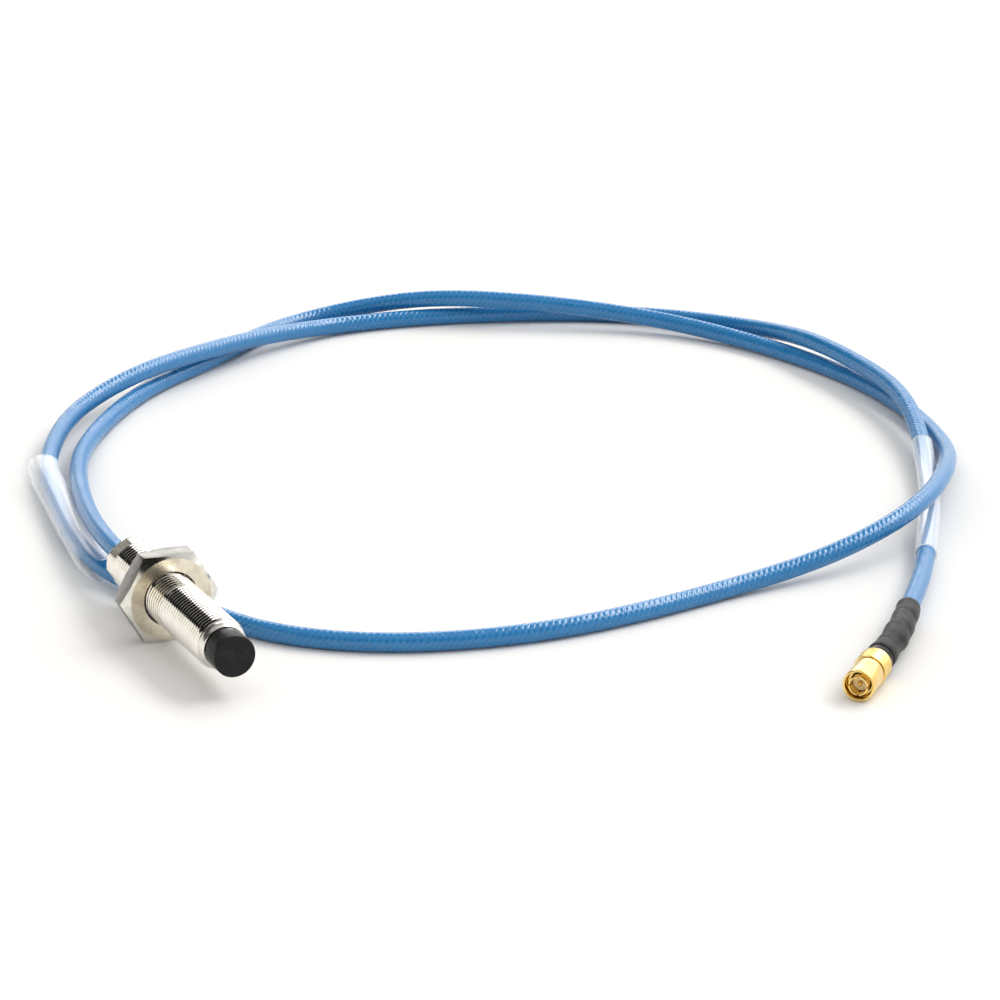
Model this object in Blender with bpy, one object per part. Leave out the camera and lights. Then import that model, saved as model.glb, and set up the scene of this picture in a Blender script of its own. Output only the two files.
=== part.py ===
"""Eddy current probe with its lead and miniature coaxial plug.

The probe lies with its axis along +X, tip forward, on one flat of its lock nut. The lead leaves the
rear of the case, lies in nearly two turns behind the probe and ends in the plug. Lengths are metres.
The origin is on the surface, under the middle of the probe.
"""

import math

import bmesh
import bpy
import numpy as np
from mathutils import Matrix, Vector

MM = 0.001

# Fits
GAP = 0.3 * MM                    # between pieces that touch on the real probe
THREAD_CLEARANCE = 0.33 * MM      # radial, between the case thread and the nut

# Case, a tube with an M10 x 1 thread
CASE_DIAMETER = 9.9 * MM
CASE_LENGTH = 49.0 * MM
CASE_WALL = 1.5 * MM              # from the thread's crest to the bore
CASE_BORE = CASE_DIAMETER - 2 * CASE_WALL
CASE_REAR_CHAMFER = 0.5 * MM
THREAD_DEPTH = 0.55 * MM
NECK_WALL = 0.45 * MM             # round the tip's spigot
NECK_LENGTH = 2.0 * MM
NECK_END_CHAMFER = 0.35 * MM
WRENCH_CUT = 0.95 * MM            # depth of each flat
WRENCH_WIDTH = CASE_DIAMETER - 2 * WRENCH_CUT
WRENCH_LENGTH = 3.8 * MM
WRENCH_TURN = math.radians(30.0)  # of the square about the axis

# Tip, a moulded cup over the coil
TIP_STEP = 0.95 * MM              # radially, in from the case
TIP_DIAMETER = CASE_DIAMETER - 2 * TIP_STEP
TIP_PROUD = 5.0 * MM
TIP_EDGE_RADIUS = 0.5 * MM
TIP_FACE_WALL = 0.9 * MM
TIP_SIDE_WALL = 0.5 * MM
SPIGOT_LENGTH = 6.0 * MM
SPIGOT_DIAMETER = CASE_DIAMETER - 2 * (THREAD_DEPTH + NECK_WALL + GAP)

# Lock nut
NUT_WIDTH = 17.0 * MM             # across flats
NUT_THICKNESS = 5.0 * MM
NUT_FACE_DIAMETER = 16.0 * MM     # round bearing face inside the corner chamfers
NUT_CHAMFER_ANGLE = math.radians(30.0)
NUT_BLANK_ALLOWANCE = 0.4 * MM    # of the turned blank, outside the hexagon's corners
NUT_COUNTERSINK = 0.4 * MM
NUT_BEHIND_TIP = 32.0 * MM        # from the tip's face back to the nut's front face

# Coil and the lead's end inside the case
FLANGE_THICKNESS = 0.6 * MM
COIL_LENGTH = 1.6 * MM
FORMER_CORE_DIAMETER = 2.4 * MM
FORMER_HOLE_DIAMETER = 1.0 * MM
COIL_WIRE_DIAMETER = 0.24 * MM
COIL_WIRE_SPACING = 1.2 * MM
POTTING_BORE = 2.1 * MM
CONDUCTOR_DIAMETER = 0.5 * MM
CONDUCTOR_LENGTH = 2.4 * MM
CORE_DIAMETER = 2.0 * MM
CORE_FRONT_FROM_TIP = 15.0 * MM
BRAID_DIAMETER = 3.0 * MM
BRAID_WALL = 0.2 * MM
BRAID_SHORT_OF_CORE = 4.0 * MM
ANCHOR_LENGTH = 12.0 * MM
SEAL_LENGTH = 3.2 * MM
LEAD_INSIDE_CASE = 10.0 * MM

# Lead
LEAD_DIAMETER = 3.7 * MM
LEAD_POINTS = 80
LEAD_SIDES_STEP = 2               # bevel resolution, eight sides
LEAD_STRAIGHT = 10.0 * MM         # behind the case, before the first bend
LEAD_ROUTE_MM = (
    (-56.5, 3.0, 7.2), (-76.0, 8.0, 5.5), (-95.0, 14.5, 3.9), (-113.0, 23.5, 2.3),
    (-129.0, 35.5, 1.9), (-142.5, 50.0, 1.9), (-153.5, 67.0, 1.9), (-165.0, 83.5, 2.0),
    (-170.6, 101.3, 2.6), (-164.1, 120.1, 5.45), (-153.6, 137.1, 6.15), (-143.2, 154.1, 4.8),
    (-130.5, 169.5, 3.0), (-114.0, 179.5, 2.2), (-95.5, 186.0, 1.9), (-75.5, 189.0, 1.9),
    (-55.5, 188.0, 2.0), (-35.5, 183.5, 2.4), (-18.0, 174.5, 5.3), (-2.0, 163.0, 7.8),
    (11.0, 148.0, 7.7), (16.5, 129.0, 4.5), (18.5, 109.0, 2.2), (22.0, 89.0, 1.9),
    (24.0, 69.5, 1.9), (22.0, 49.5, 1.9), (15.0, 31.0, 1.9), (1.5, 16.0, 1.9),
    (-16.0, 8.0, 1.9), (-35.0, 0.5, 2.6), (-55.0, -0.5, 2.75), (-75.0, 3.0, 2.65),
    (-94.0, 7.5, 2.9), (-112.5, 15.5, 3.3), (-128.5, 27.5, 4.2), (-139.0, 44.5, 6.1),
    (-148.0, 62.0, 5.7), (-157.0, 80.0, 4.1), (-163.0, 99.0, 2.3), (-162.0, 118.5, 1.9),
    (-156.5, 138.0, 1.9), (-148.5, 156.5, 1.9), (-136.5, 172.5, 2.1), (-119.0, 183.0, 3.5),
    (-99.5, 186.5, 5.9), (-79.5, 188.0, 6.2), (-60.0, 186.5, 6.0), (-41.1, 180.7, 4.6),
    (-22.8, 172.4, 2.9), (-5.2, 163.0, 2.7), (11.7, 152.8, 2.7), (28.7, 141.9, 2.7),
    (45.2, 129.4, 3.0),
)

# Clear sleeves, the probe's loose on the lead and the plug's close round it
SLEEVE_LENGTH = 62.0 * MM
PROBE_SLEEVE_DIAMETER = 5.8 * MM
PROBE_SLEEVE_WALL = 0.4 * MM
PROBE_SLEEVE_DROOP = 0.3 * MM     # the lead lies this far under the sleeve's own centre
PROBE_SLEEVE_START = 622.5 * MM   # along the lead
PLUG_SLEEVE_DIAMETER = 5.1 * MM
PLUG_SLEEVE_WALL = 0.35 * MM
PLUG_SLEEVE_START = 988.0 * MM

# Plug, measured forward from the rear face of its collar
PLUG_PLACE = (67.2 * MM, 109.8 * MM)
PLUG_HEADING = math.radians(-45.0)
PLUG_LENGTH = 11.5 * MM
COLLAR_DIAMETER = 6.4 * MM
COLLAR_LENGTH = 4.4 * MM
COLLAR_WEB = 1.2 * MM
SHOULDER_GAP = 0.1 * MM           # between the collar and the groove behind the barrel
GROOVE_WIDTH = 0.5 * MM
GROOVE_DIAMETER = 5.5 * MM
BARREL_DIAMETER = 6.04 * MM
BARREL_WALL = 0.5 * MM
BARREL_SPIGOT_DIAMETER = 5.2 * MM
BARREL_WEB = 1.2 * MM
BARREL_LIP_ROUND = 0.15 * MM
BODY_NECK_DIAMETER = 3.2 * MM
BODY_FLANGE_DIAMETER = 4.2 * MM
BODY_FLANGE_LENGTH = 1.6 * MM
BODY_BORE = 1.6 * MM
STEM_DIAMETER = 2.1 * MM
STEM_LENGTH = 4.7 * MM
COLLET_DIAMETER = 3.7 * MM
COLLET_WALL = 0.35 * MM
COLLET_BEAD = 0.1 * MM
COLLET_BEAD_RAMP = 0.2 * MM
COLLET_BEAD_LENGTH = 0.1 * MM
COLLET_NOSE = 0.2 * MM
COLLET_SLOT = 0.35 * MM
COLLET_SLOT_DEPTH = 4.6 * MM
COLLET_PROUD = 0.2 * MM
INSULATOR_REACH = 3.6 * MM        # forward of the body's flange
INSULATOR_POCKET = 1.07 * MM      # into the flange
PIN_DIAMETER = 0.8 * MM
PIN_SHORT_OF_RIM = 0.8 * MM
PIN_TAIL = 1.0 * MM

# Crimp and boot, measured back from the collar
JACKET_END = 6.3 * MM
PLUG_CORE_DIAMETER = 1.0 * MM
FERRULE_DIAMETER = 4.5 * MM
FERRULE_WALL = 0.5 * MM
FERRULE_LENGTH = 4.7 * MM
PLUG_BRAID_WALL = 0.15 * MM
BOOT_LENGTH = 29.0 * MM
BOOT_BORE = LEAD_DIAMETER + 2 * GAP
BOOT_FRONT_BORE = FERRULE_DIAMETER + 2 * GAP
BOOT_FRONT_BORE_LENGTH = 7.0 * MM
BOOT_RINGS = 30
# Share of the boot's length from the collar, and its diameter there
BOOT_OUTLINE = (
    (0.00, 5.8 * MM), (0.05, 5.8 * MM), (0.075, 6.1 * MM), (0.17, 6.1 * MM), (0.24, 5.5 * MM),
    (0.31, 5.15 * MM), (0.40, 5.45 * MM), (0.50, 5.3 * MM), (0.58, 4.95 * MM), (0.68, 5.2 * MM),
    (0.78, 5.05 * MM), (0.86, 4.8 * MM), (0.94, 4.75 * MM), (1.00, 4.7 * MM),
)

# Facets round each kind of piece
SIDES_LARGE = 48
SIDES_MEDIUM = 32
SIDES_BOOT = 24
SIDES_SMALL = 16

# Stations along the probe's axis
AXIS_HEIGHT = NUT_WIDTH / 2
REAR_X = -(CASE_LENGTH + TIP_PROUD) / 2
TIP_X = REAR_X + CASE_LENGTH + TIP_PROUD
CASE_FRONT_X = TIP_X - TIP_PROUD
NUT_FRONT_X = TIP_X - NUT_BEHIND_TIP
LEAD_START_X = REAR_X + LEAD_INSIDE_CASE


def clear_scene():
    """Remove every object that the file holds."""
    for item in list(bpy.data.objects):
        bpy.data.objects.remove(item, do_unlink=True)


def make_material(name, colour, roughness, metallic=0.0, alpha=1.0):
    """A plain Principled material."""
    material = bpy.data.materials.new(name)
    material.use_nodes = True
    shader = material.node_tree.nodes["Principled BSDF"]
    shader.inputs["Base Color"].default_value = (*colour, 1.0)
    shader.inputs["Roughness"].default_value = roughness
    shader.inputs["Metallic"].default_value = metallic
    shader.inputs["Alpha"].default_value = alpha
    return material


def add_empty(name, matrix):
    """An empty that carries a group of pieces on their common axis."""
    empty = bpy.data.objects.new(name, None)
    empty.matrix_world = matrix
    bpy.context.collection.objects.link(empty)
    return empty


def add_object(name, data, material, parent=None):
    """Link a new object that carries the given mesh or curve."""
    item = bpy.data.objects.new(name, data)
    data.materials.append(material)
    bpy.context.collection.objects.link(item)
    item.parent = parent
    return item


def mesh_from(name, build):
    """Make a mesh from a bmesh builder, with clean outward faces and sharp edges kept."""
    solid = bmesh.new()
    build(solid)
    bmesh.ops.remove_doubles(solid, verts=solid.verts, dist=0.0001 * MM)
    bmesh.ops.recalc_face_normals(solid, faces=solid.faces)
    mesh = bpy.data.meshes.new(name)
    solid.to_mesh(mesh)
    solid.free()
    mesh.shade_smooth()
    mesh.set_sharp_from_angle(angle=math.radians(35.0))
    return mesh


def turned(name, outline, material, parent, sides=SIDES_MEDIUM):
    """Turn an outline of (place along X, radius) points about the X axis.

    An outline whose ends both lie on the axis is a solid bar. Any other is closed on itself, as a
    tube is.
    """
    def build(solid):
        points = [solid.verts.new((x, 0.0, radius)) for x, radius in outline]
        chain = list(zip(points[:-1], points[1:]))
        if outline[0][1] > 0.0:
            chain.append((points[-1], points[0]))
        edges = [solid.edges.new(pair) for pair in chain]
        bmesh.ops.spin(
            solid, geom=points + edges, cent=(0, 0, 0), axis=(1, 0, 0),
            angle=math.tau, steps=sides, use_merge=True,
        )
    return add_object(name, mesh_from(name, build), material, parent)


def ring(rear, front, inner, outer):
    """Outline of a plain tube between two places along the axis."""
    return [(rear, outer), (front, outer), (front, inner), (rear, inner)]


def arc(centre, radius, start, end, steps):
    """Points of an arc in an outline, angles in degrees from the X axis."""
    angles = np.radians(np.linspace(start, end, steps + 1))
    return [(centre[0] + radius * math.cos(a), centre[1] + radius * math.sin(a)) for a in angles]


def add_cutter(name, build, parent, matrix=Matrix()):
    """A solid that only cuts others."""
    cutter = bpy.data.objects.new(name, mesh_from(name, build))
    bpy.context.collection.objects.link(cutter)
    cutter.parent = parent
    cutter.matrix_local = matrix
    cutter.hide_render = True
    cutter.display_type = "WIRE"
    return cutter


def add_boolean(item, cutter, operation):
    """Cut an object by another, exactly."""
    modifier = item.modifiers.new(cutter.name, "BOOLEAN")
    modifier.object = cutter
    modifier.operation = operation
    modifier.solver = "EXACT"


def box(size, centre=(0, 0, 0)):
    """A builder for a box of the given size."""
    def build(solid):
        place = Matrix.Translation(centre) @ Matrix.Diagonal((*size, 1.0))
        bmesh.ops.create_cube(solid, size=1.0, matrix=place)
    return build


def hexagon_bar(width, length):
    """A builder for a hexagonal bar along X with one flat down, width across its flats."""
    def build(solid):
        turn = Matrix.Rotation(math.pi / 2, 4, "Y")
        corner = width / 2 / math.cos(math.pi / 6)
        bmesh.ops.create_cone(
            solid, cap_ends=True, segments=6, radius1=corner, radius2=corner, depth=length,
            matrix=turn,
        )
    return build


def smooth_curve(points, count):
    """Read evenly spaced points from the natural cubic spline through a route.

    The spline's second derivatives m solve h0*m0 + 2*(h0 + h1)*m1 + h1*m2 = 6*(slope1 - slope0) at
    each inner point and are zero at both ends, where h is the distance between points.
    """
    points = np.asarray(points, dtype=float)
    steps = np.linalg.norm(np.diff(points, axis=0), axis=1)
    knots = np.concatenate([[0.0], np.cumsum(steps)])
    slopes = np.diff(points, axis=0) / steps[:, None]
    last = len(points) - 1
    system = np.eye(last + 1)
    rates = np.zeros_like(points)
    for i in range(1, last):
        system[i, i - 1:i + 2] = steps[i - 1], 2 * (steps[i - 1] + steps[i]), steps[i]
        rates[i] = 6 * (slopes[i] - slopes[i - 1])
    seconds = np.linalg.solve(system, rates)

    def read(places):
        piece = np.clip(np.searchsorted(knots, places, side="right") - 1, 0, last - 1)
        h = steps[piece][:, None]
        t = (places - knots[piece])[:, None]
        m0, m1 = seconds[piece], seconds[piece + 1]
        return (points[piece] + slopes[piece] * t - (2 * m0 + m1) * h * t / 6
                + m0 * t ** 2 / 2 + (m1 - m0) * t ** 3 / (6 * h))

    fine = read(np.linspace(0.0, knots[-1], 40 * count))
    run = np.concatenate([[0.0], np.cumsum(np.linalg.norm(np.diff(fine, axis=0), axis=1))])
    even = np.linspace(0.0, run[-1], count)
    return np.stack([np.interp(even, run, fine[:, axis]) for axis in range(3)], axis=1)


def plug_matrix():
    """Frame of the plug: X along its axis to the mouth, origin at the collar's rear face."""
    place = Vector((*PLUG_PLACE, COLLAR_DIAMETER / 2))
    return Matrix.Translation(place) @ Matrix.Rotation(PLUG_HEADING, 4, "Z")


def lead_path():
    """Centre line of the lead, from inside the case to its stripped end in the plug."""
    route = [(LEAD_START_X, 0.0, AXIS_HEIGHT), (REAR_X - LEAD_STRAIGHT, 0.0, AXIS_HEIGHT)]
    route += [tuple(MM * value for value in point) for point in LEAD_ROUTE_MM]
    plug = plug_matrix()
    for back in (JACKET_END + BOOT_FRONT_BORE_LENGTH, JACKET_END):
        route.append(tuple(plug @ Vector((-back, 0.0, 0.0))))
    path = smooth_curve(route, LEAD_POINTS)
    path[:, 2] = np.maximum(path[:, 2], LEAD_DIAMETER / 2)
    return path


def along(path, places):
    """Points at the given distances along a chain of straight steps."""
    run = np.concatenate([[0.0], np.cumsum(np.linalg.norm(np.diff(path, axis=0), axis=1))])
    return np.stack([np.interp(places, run, path[:, axis]) for axis in range(3)], axis=1)


def cross_axes(centres):
    """Sideways and upward unit vectors at each point of a centre line."""
    forward = np.gradient(centres, axis=0)
    forward /= np.linalg.norm(forward, axis=1)[:, None]
    side = np.cross((0.0, 0.0, 1.0), forward)
    side /= np.linalg.norm(side, axis=1)[:, None]
    return side, np.cross(forward, side)


def hose(name, centres, outer, inner, material, sides):
    """An open tube along a bent centre line, with a radius outside and inside at each point."""
    side, up = cross_axes(centres)

    def build(solid):
        angles = np.arange(sides) * math.tau / sides
        loops = []
        for radii in (outer, inner):
            wall = []
            for centre, across, over, radius in zip(centres, side, up, radii):
                rim = [centre + radius * (math.cos(a) * across + math.sin(a) * over) for a in angles]
                wall.append([solid.verts.new(point) for point in rim])
            loops.append(wall)
        skins = loops[0] + loops[1][::-1]
        for one, two in zip(skins, skins[1:] + skins[:1]):
            for k in range(sides):
                n = (k + 1) % sides
                solid.faces.new((one[k], one[n], two[n], two[k]))
    return add_object(name, mesh_from(name, build), material)


def make_case(axis, steel):
    """The threaded tube, with four wrench flats at its rear and a neck at its front."""
    crest = CASE_DIAMETER / 2
    root = crest - THREAD_DEPTH
    bore = CASE_BORE / 2
    seat = SPIGOT_DIAMETER / 2 + GAP
    neck_x = CASE_FRONT_X - NECK_LENGTH
    outline = [
        (REAR_X, crest - CASE_REAR_CHAMFER), (REAR_X + CASE_REAR_CHAMFER, crest),
        (neck_x, crest), (neck_x + THREAD_DEPTH, root),
        (CASE_FRONT_X - NECK_END_CHAMFER, root), (CASE_FRONT_X, root - NECK_END_CHAMFER),
        (CASE_FRONT_X, seat), (CASE_FRONT_X - SPIGOT_LENGTH, seat),
        (CASE_FRONT_X - SPIGOT_LENGTH, bore), (REAR_X, bore),
    ]
    case = turned("threaded_case", outline, steel, axis, SIDES_LARGE)
    for number in range(4):
        turn = Matrix.Rotation(WRENCH_TURN + number * math.pi / 2, 4, "X")
        block = (2 * WRENCH_LENGTH, CASE_DIAMETER, CASE_DIAMETER)
        centre = (REAR_X, 0.0, (WRENCH_WIDTH + CASE_DIAMETER) / 2)
        cutter = add_cutter(f"cut_wrench_flat_{number + 1}", box(block, centre), axis, turn)
        add_boolean(case, cutter, "DIFFERENCE")


def make_tip(axis, plastic):
    """The moulded cup that covers the coil, with a spigot in the case."""
    outer = TIP_DIAMETER / 2
    inner = SPIGOT_DIAMETER / 2 - TIP_SIDE_WALL
    shoulder = CASE_FRONT_X + GAP
    rear = shoulder - SPIGOT_LENGTH
    edge = arc((TIP_X - TIP_EDGE_RADIUS, outer - TIP_EDGE_RADIUS), TIP_EDGE_RADIUS, 90.0, 0.0, 4)
    outline = [(TIP_X - TIP_FACE_WALL, 0.0), (TIP_X - TIP_FACE_WALL, inner), (rear, inner),
               (rear, SPIGOT_DIAMETER / 2), (shoulder, SPIGOT_DIAMETER / 2), (shoulder, outer)]
    turned("tip_cap", outline + edge + [(TIP_X, 0.0)], plastic, axis, SIDES_LARGE)


def make_coil(axis, former_plastic, copper):
    """The bobbin, its winding and the two leads behind it."""
    flange = SPIGOT_DIAMETER / 2 - TIP_SIDE_WALL - GAP
    core = FORMER_CORE_DIAMETER / 2
    hole = FORMER_HOLE_DIAMETER / 2
    front = TIP_X - TIP_FACE_WALL - GAP
    window_front = front - FLANGE_THICKNESS
    window_rear = window_front - COIL_LENGTH - 2 * GAP
    rear = window_rear - FLANGE_THICKNESS
    outline = [(rear, flange), (window_rear, flange), (window_rear, core), (window_front, core),
               (window_front, flange), (front, flange), (front, hole), (rear, hole)]
    turned("coil_former", outline, former_plastic, axis)
    coil = ring(window_rear + GAP, window_front - GAP, core + GAP, flange)
    turned("sensing_coil", coil, copper, axis)

    wire_rear = TIP_X - CORE_FRONT_FROM_TIP + GAP
    length = rear - GAP - wire_rear
    radius = COIL_WIRE_DIAMETER / 2
    wire = [(-length / 2, 0.0), (-length / 2, radius), (length / 2, radius), (length / 2, 0.0)]
    for name, offset in (("coil_wire_start", -COIL_WIRE_SPACING / 2),
                         ("coil_wire_finish", COIL_WIRE_SPACING / 2)):
        lead = turned(name, wire, copper, axis, SIDES_SMALL)
        lead.location = (wire_rear + length / 2, offset, 0.0)
    return rear


def make_lead_end(axis, former_rear, finishes):
    """What the case holds behind the coil: stripped lead, crimp anchor, potting and seal."""
    core_front = TIP_X - CORE_FRONT_FROM_TIP
    stripped = LEAD_START_X + GAP
    braid_front = core_front - BRAID_SHORT_OF_CORE
    braid = BRAID_DIAMETER / 2
    anchor_outer = CASE_BORE / 2 - GAP
    anchor_rear = REAR_X + SEAL_LENGTH + GAP
    anchor_front = anchor_rear + ANCHOR_LENGTH
    jacket_bore = LEAD_DIAMETER / 2 + GAP
    over_braid = braid + GAP

    turned("lead_core", ring(stripped, core_front, CONDUCTOR_DIAMETER / 2 + GAP,
                             CORE_DIAMETER / 2), finishes["ptfe"], axis)
    conductor = [(core_front - CONDUCTOR_LENGTH, 0.0),
                 (core_front - CONDUCTOR_LENGTH, CONDUCTOR_DIAMETER / 2),
                 (core_front, CONDUCTOR_DIAMETER / 2), (core_front, 0.0)]
    turned("centre_conductor", conductor, finishes["copper"], axis, SIDES_SMALL)
    turned("shield_braid", ring(stripped, braid_front, braid - BRAID_WALL, braid),
           finishes["braid"], axis)

    step = LEAD_START_X
    anchor = [(anchor_rear, anchor_outer), (anchor_front, anchor_outer),
              (anchor_front, over_braid), (step, over_braid), (step, jacket_bore),
              (anchor_rear, jacket_bore)]
    turned("cable_anchor", anchor, finishes["steel"], axis)
    turned("rear_seal", ring(REAR_X, REAR_X + SEAL_LENGTH, jacket_bore, anchor_outer),
           finishes["rubber"], axis)

    potting_outer = SPIGOT_DIAMETER / 2 - TIP_SIDE_WALL - GAP
    over_core = CORE_DIAMETER / 2 + GAP
    potting = [(anchor_front + GAP, potting_outer), (former_rear - GAP, potting_outer),
               (former_rear - GAP, POTTING_BORE / 2), (core_front + GAP, POTTING_BORE / 2),
               (core_front + GAP, over_core), (braid_front + GAP, over_core),
               (braid_front + GAP, over_braid), (anchor_front + GAP, over_braid)]
    turned("potting_fill", potting, finishes["epoxy"], axis)


def make_nut(axis, steel):
    """The lock nut: a turned blank with chamfered corners, cut to a hexagon."""
    rear = NUT_FRONT_X - NUT_THICKNESS
    face = NUT_FACE_DIAMETER / 2
    blank = NUT_WIDTH / 2 / math.cos(math.pi / 6) + NUT_BLANK_ALLOWANCE
    slope = (blank - face) * math.tan(NUT_CHAMFER_ANGLE)
    bore = CASE_DIAMETER / 2 + THREAD_CLEARANCE
    sunk = bore + NUT_COUNTERSINK
    outline = [(rear, face), (rear + slope, blank), (NUT_FRONT_X - slope, blank),
               (NUT_FRONT_X, face), (NUT_FRONT_X, sunk), (NUT_FRONT_X - NUT_COUNTERSINK, bore),
               (rear + NUT_COUNTERSINK, bore), (rear, sunk)]
    nut = turned("lock_nut", outline, steel, axis, SIDES_LARGE)
    middle = Matrix.Translation(((rear + NUT_FRONT_X) / 2, 0.0, 0.0))
    shape = add_cutter("shape_hexagon", hexagon_bar(NUT_WIDTH, 2 * NUT_THICKNESS), axis, middle)
    add_boolean(nut, shape, "INTERSECT")


def make_lead(path, jacket):
    """The lead as a tube along its route."""
    curve = bpy.data.curves.new("lead", "CURVE")
    curve.dimensions = "3D"
    curve.twist_mode = "Z_UP"
    curve.bevel_depth = LEAD_DIAMETER / 2
    curve.bevel_resolution = LEAD_SIDES_STEP
    curve.use_fill_caps = True
    spline = curve.splines.new("POLY")
    spline.points.add(len(path) - 1)
    for point, place in zip(spline.points, path):
        point.co = (*place, 1.0)
    add_object("lead", curve, jacket)


def make_sleeve(name, path, start, diameter, wall, droop, clear):
    """A clear sleeve round a stretch of the lead."""
    run = np.concatenate([[0.0], np.cumsum(np.linalg.norm(np.diff(path, axis=0), axis=1))])
    inside = (run > start) & (run < start + SLEEVE_LENGTH)
    places = np.concatenate([[start], run[inside], [start + SLEEVE_LENGTH]])
    centres = along(path, places)
    centres[:, 2] += droop
    outer = np.full(len(centres), diameter / 2)
    hose(name, centres, outer, outer - wall, clear, SIDES_SMALL)


def make_boot(path, rubber):
    """The shrunk boot over the crimp, stepped and bent with the lead."""
    plug = plug_matrix()
    front = np.array(plug @ Vector((-GAP, 0.0, 0.0)))
    backward = path[::-1]
    line = np.vstack([front, backward[np.linalg.norm(backward - front, axis=1) < 2 * BOOT_LENGTH]])
    places = np.linspace(0.0, BOOT_LENGTH, BOOT_RINGS)
    step = int(np.argmin(np.abs(places - BOOT_FRONT_BORE_LENGTH)))
    shares, widths = zip(*BOOT_OUTLINE)
    outer = np.interp(places / BOOT_LENGTH, shares, widths) / 2
    inner = np.where(np.arange(BOOT_RINGS) <= step, BOOT_FRONT_BORE, BOOT_BORE) / 2
    hose("plug_boot", along(line, places), outer, inner, rubber, SIDES_BOOT)


def make_plug(axis, finishes):
    """The coaxial plug and the crimp behind it, on the plug's own axis."""
    collar = COLLAR_DIAMETER / 2
    neck_hole = BODY_NECK_DIAMETER / 2 + GAP
    spigot = BARREL_SPIGOT_DIAMETER / 2
    spigot_rear = COLLAR_WEB + GAP
    outline = [(0.0, collar), (COLLAR_LENGTH, collar), (COLLAR_LENGTH, spigot + GAP),
               (COLLAR_WEB, spigot + GAP), (COLLAR_WEB, neck_hole), (0.0, neck_hole)]
    turned("knurled_collar", outline, finishes["gold"], axis, SIDES_LARGE)

    barrel = BARREL_DIAMETER / 2
    barrel_rear = COLLAR_LENGTH + GROOVE_WIDTH
    cavity_floor = spigot_rear + BARREL_WEB
    mouth = barrel - BARREL_WALL
    groove = GROOVE_DIAMETER / 2
    shoulder = COLLAR_LENGTH + SHOULDER_GAP
    outline = [(spigot_rear, spigot), (shoulder, spigot),
               (shoulder, groove), (barrel_rear, groove), (barrel_rear, barrel),
               (PLUG_LENGTH - BARREL_LIP_ROUND, barrel), (PLUG_LENGTH, barrel - BARREL_LIP_ROUND),
               (PLUG_LENGTH, mouth + BARREL_LIP_ROUND), (PLUG_LENGTH - BARREL_LIP_ROUND, mouth),
               (cavity_floor, mouth), (cavity_floor, neck_hole), (spigot_rear, neck_hole)]
    turned("outer_barrel", outline, finishes["gold"], axis, SIDES_LARGE)

    flange_rear = cavity_floor + GAP
    flange_front = flange_rear + BODY_FLANGE_LENGTH
    pocket = COLLET_DIAMETER / 2 - COLLET_WALL
    insulator_rear = flange_front - INSULATOR_POCKET
    outline = [(-GAP, BODY_NECK_DIAMETER / 2), (flange_rear, BODY_NECK_DIAMETER / 2),
               (flange_rear, BODY_FLANGE_DIAMETER / 2), (flange_front, BODY_FLANGE_DIAMETER / 2),
               (flange_front, pocket), (insulator_rear - GAP, pocket),
               (insulator_rear - GAP, BODY_BORE / 2), (-GAP - STEM_LENGTH, BODY_BORE / 2),
               (-GAP - STEM_LENGTH, STEM_DIAMETER / 2), (-GAP, STEM_DIAMETER / 2)]
    turned("plug_body", outline, finishes["gold"], axis)

    collet_rear = flange_front + GAP
    collet_front = PLUG_LENGTH + COLLET_PROUD
    outer = COLLET_DIAMETER / 2
    bead_front = collet_front - COLLET_NOSE
    bead_rear = bead_front - COLLET_BEAD_LENGTH
    outline = [(collet_rear, outer), (bead_rear - COLLET_BEAD_RAMP, outer),
               (bead_rear, outer + COLLET_BEAD), (bead_front, outer + COLLET_BEAD),
               (collet_front, outer), (collet_front, pocket), (collet_rear, pocket)]
    collet = turned("collet", outline, finishes["gold"], axis)
    for number in range(2):
        turn = Matrix.Rotation(number * math.pi / 2, 4, "X")
        block = (2 * COLLET_SLOT_DEPTH, 2 * COLLET_DIAMETER, COLLET_SLOT)
        cutter = add_cutter(f"cut_collet_slot_{number + 1}", box(block, (collet_front, 0.0, 0.0)),
                            axis, turn)
        add_boolean(collet, cutter, "DIFFERENCE")

    pin = PIN_DIAMETER / 2
    insulator_front = flange_front + INSULATOR_REACH
    turned("insulator", ring(insulator_rear, insulator_front, pin + GAP, pocket - GAP),
           finishes["ptfe"], axis)
    pin_rear = insulator_rear - PIN_TAIL
    pin_front = PLUG_LENGTH - PIN_SHORT_OF_RIM
    nose = arc((pin_front - pin, 0.0), pin, 90.0, 0.0, 4)
    turned("centre_pin", [(pin_rear, 0.0), (pin_rear, pin)] + nose[:-1] + [(pin_front, 0.0)],
           finishes["gold"], axis, SIDES_SMALL)

    core = PLUG_CORE_DIAMETER / 2
    turned("plug_core", [(GAP - JACKET_END, 0.0), (GAP - JACKET_END, core),
                         (pin_rear - GAP, core), (pin_rear - GAP, 0.0)],
           finishes["ptfe"], axis, SIDES_SMALL)
    ferrule = FERRULE_DIAMETER / 2
    ferrule_bore = ferrule - FERRULE_WALL
    ferrule_rear = -2 * GAP - FERRULE_LENGTH
    turned("crimp_ferrule", ring(ferrule_rear, -2 * GAP, ferrule_bore, ferrule),
           finishes["brass"], axis)
    braid = STEM_DIAMETER / 2 + GAP
    turned("plug_braid", ring(ferrule_rear, -2 * GAP, braid, braid + PLUG_BRAID_WALL),
           finishes["braid"], axis)


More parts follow.
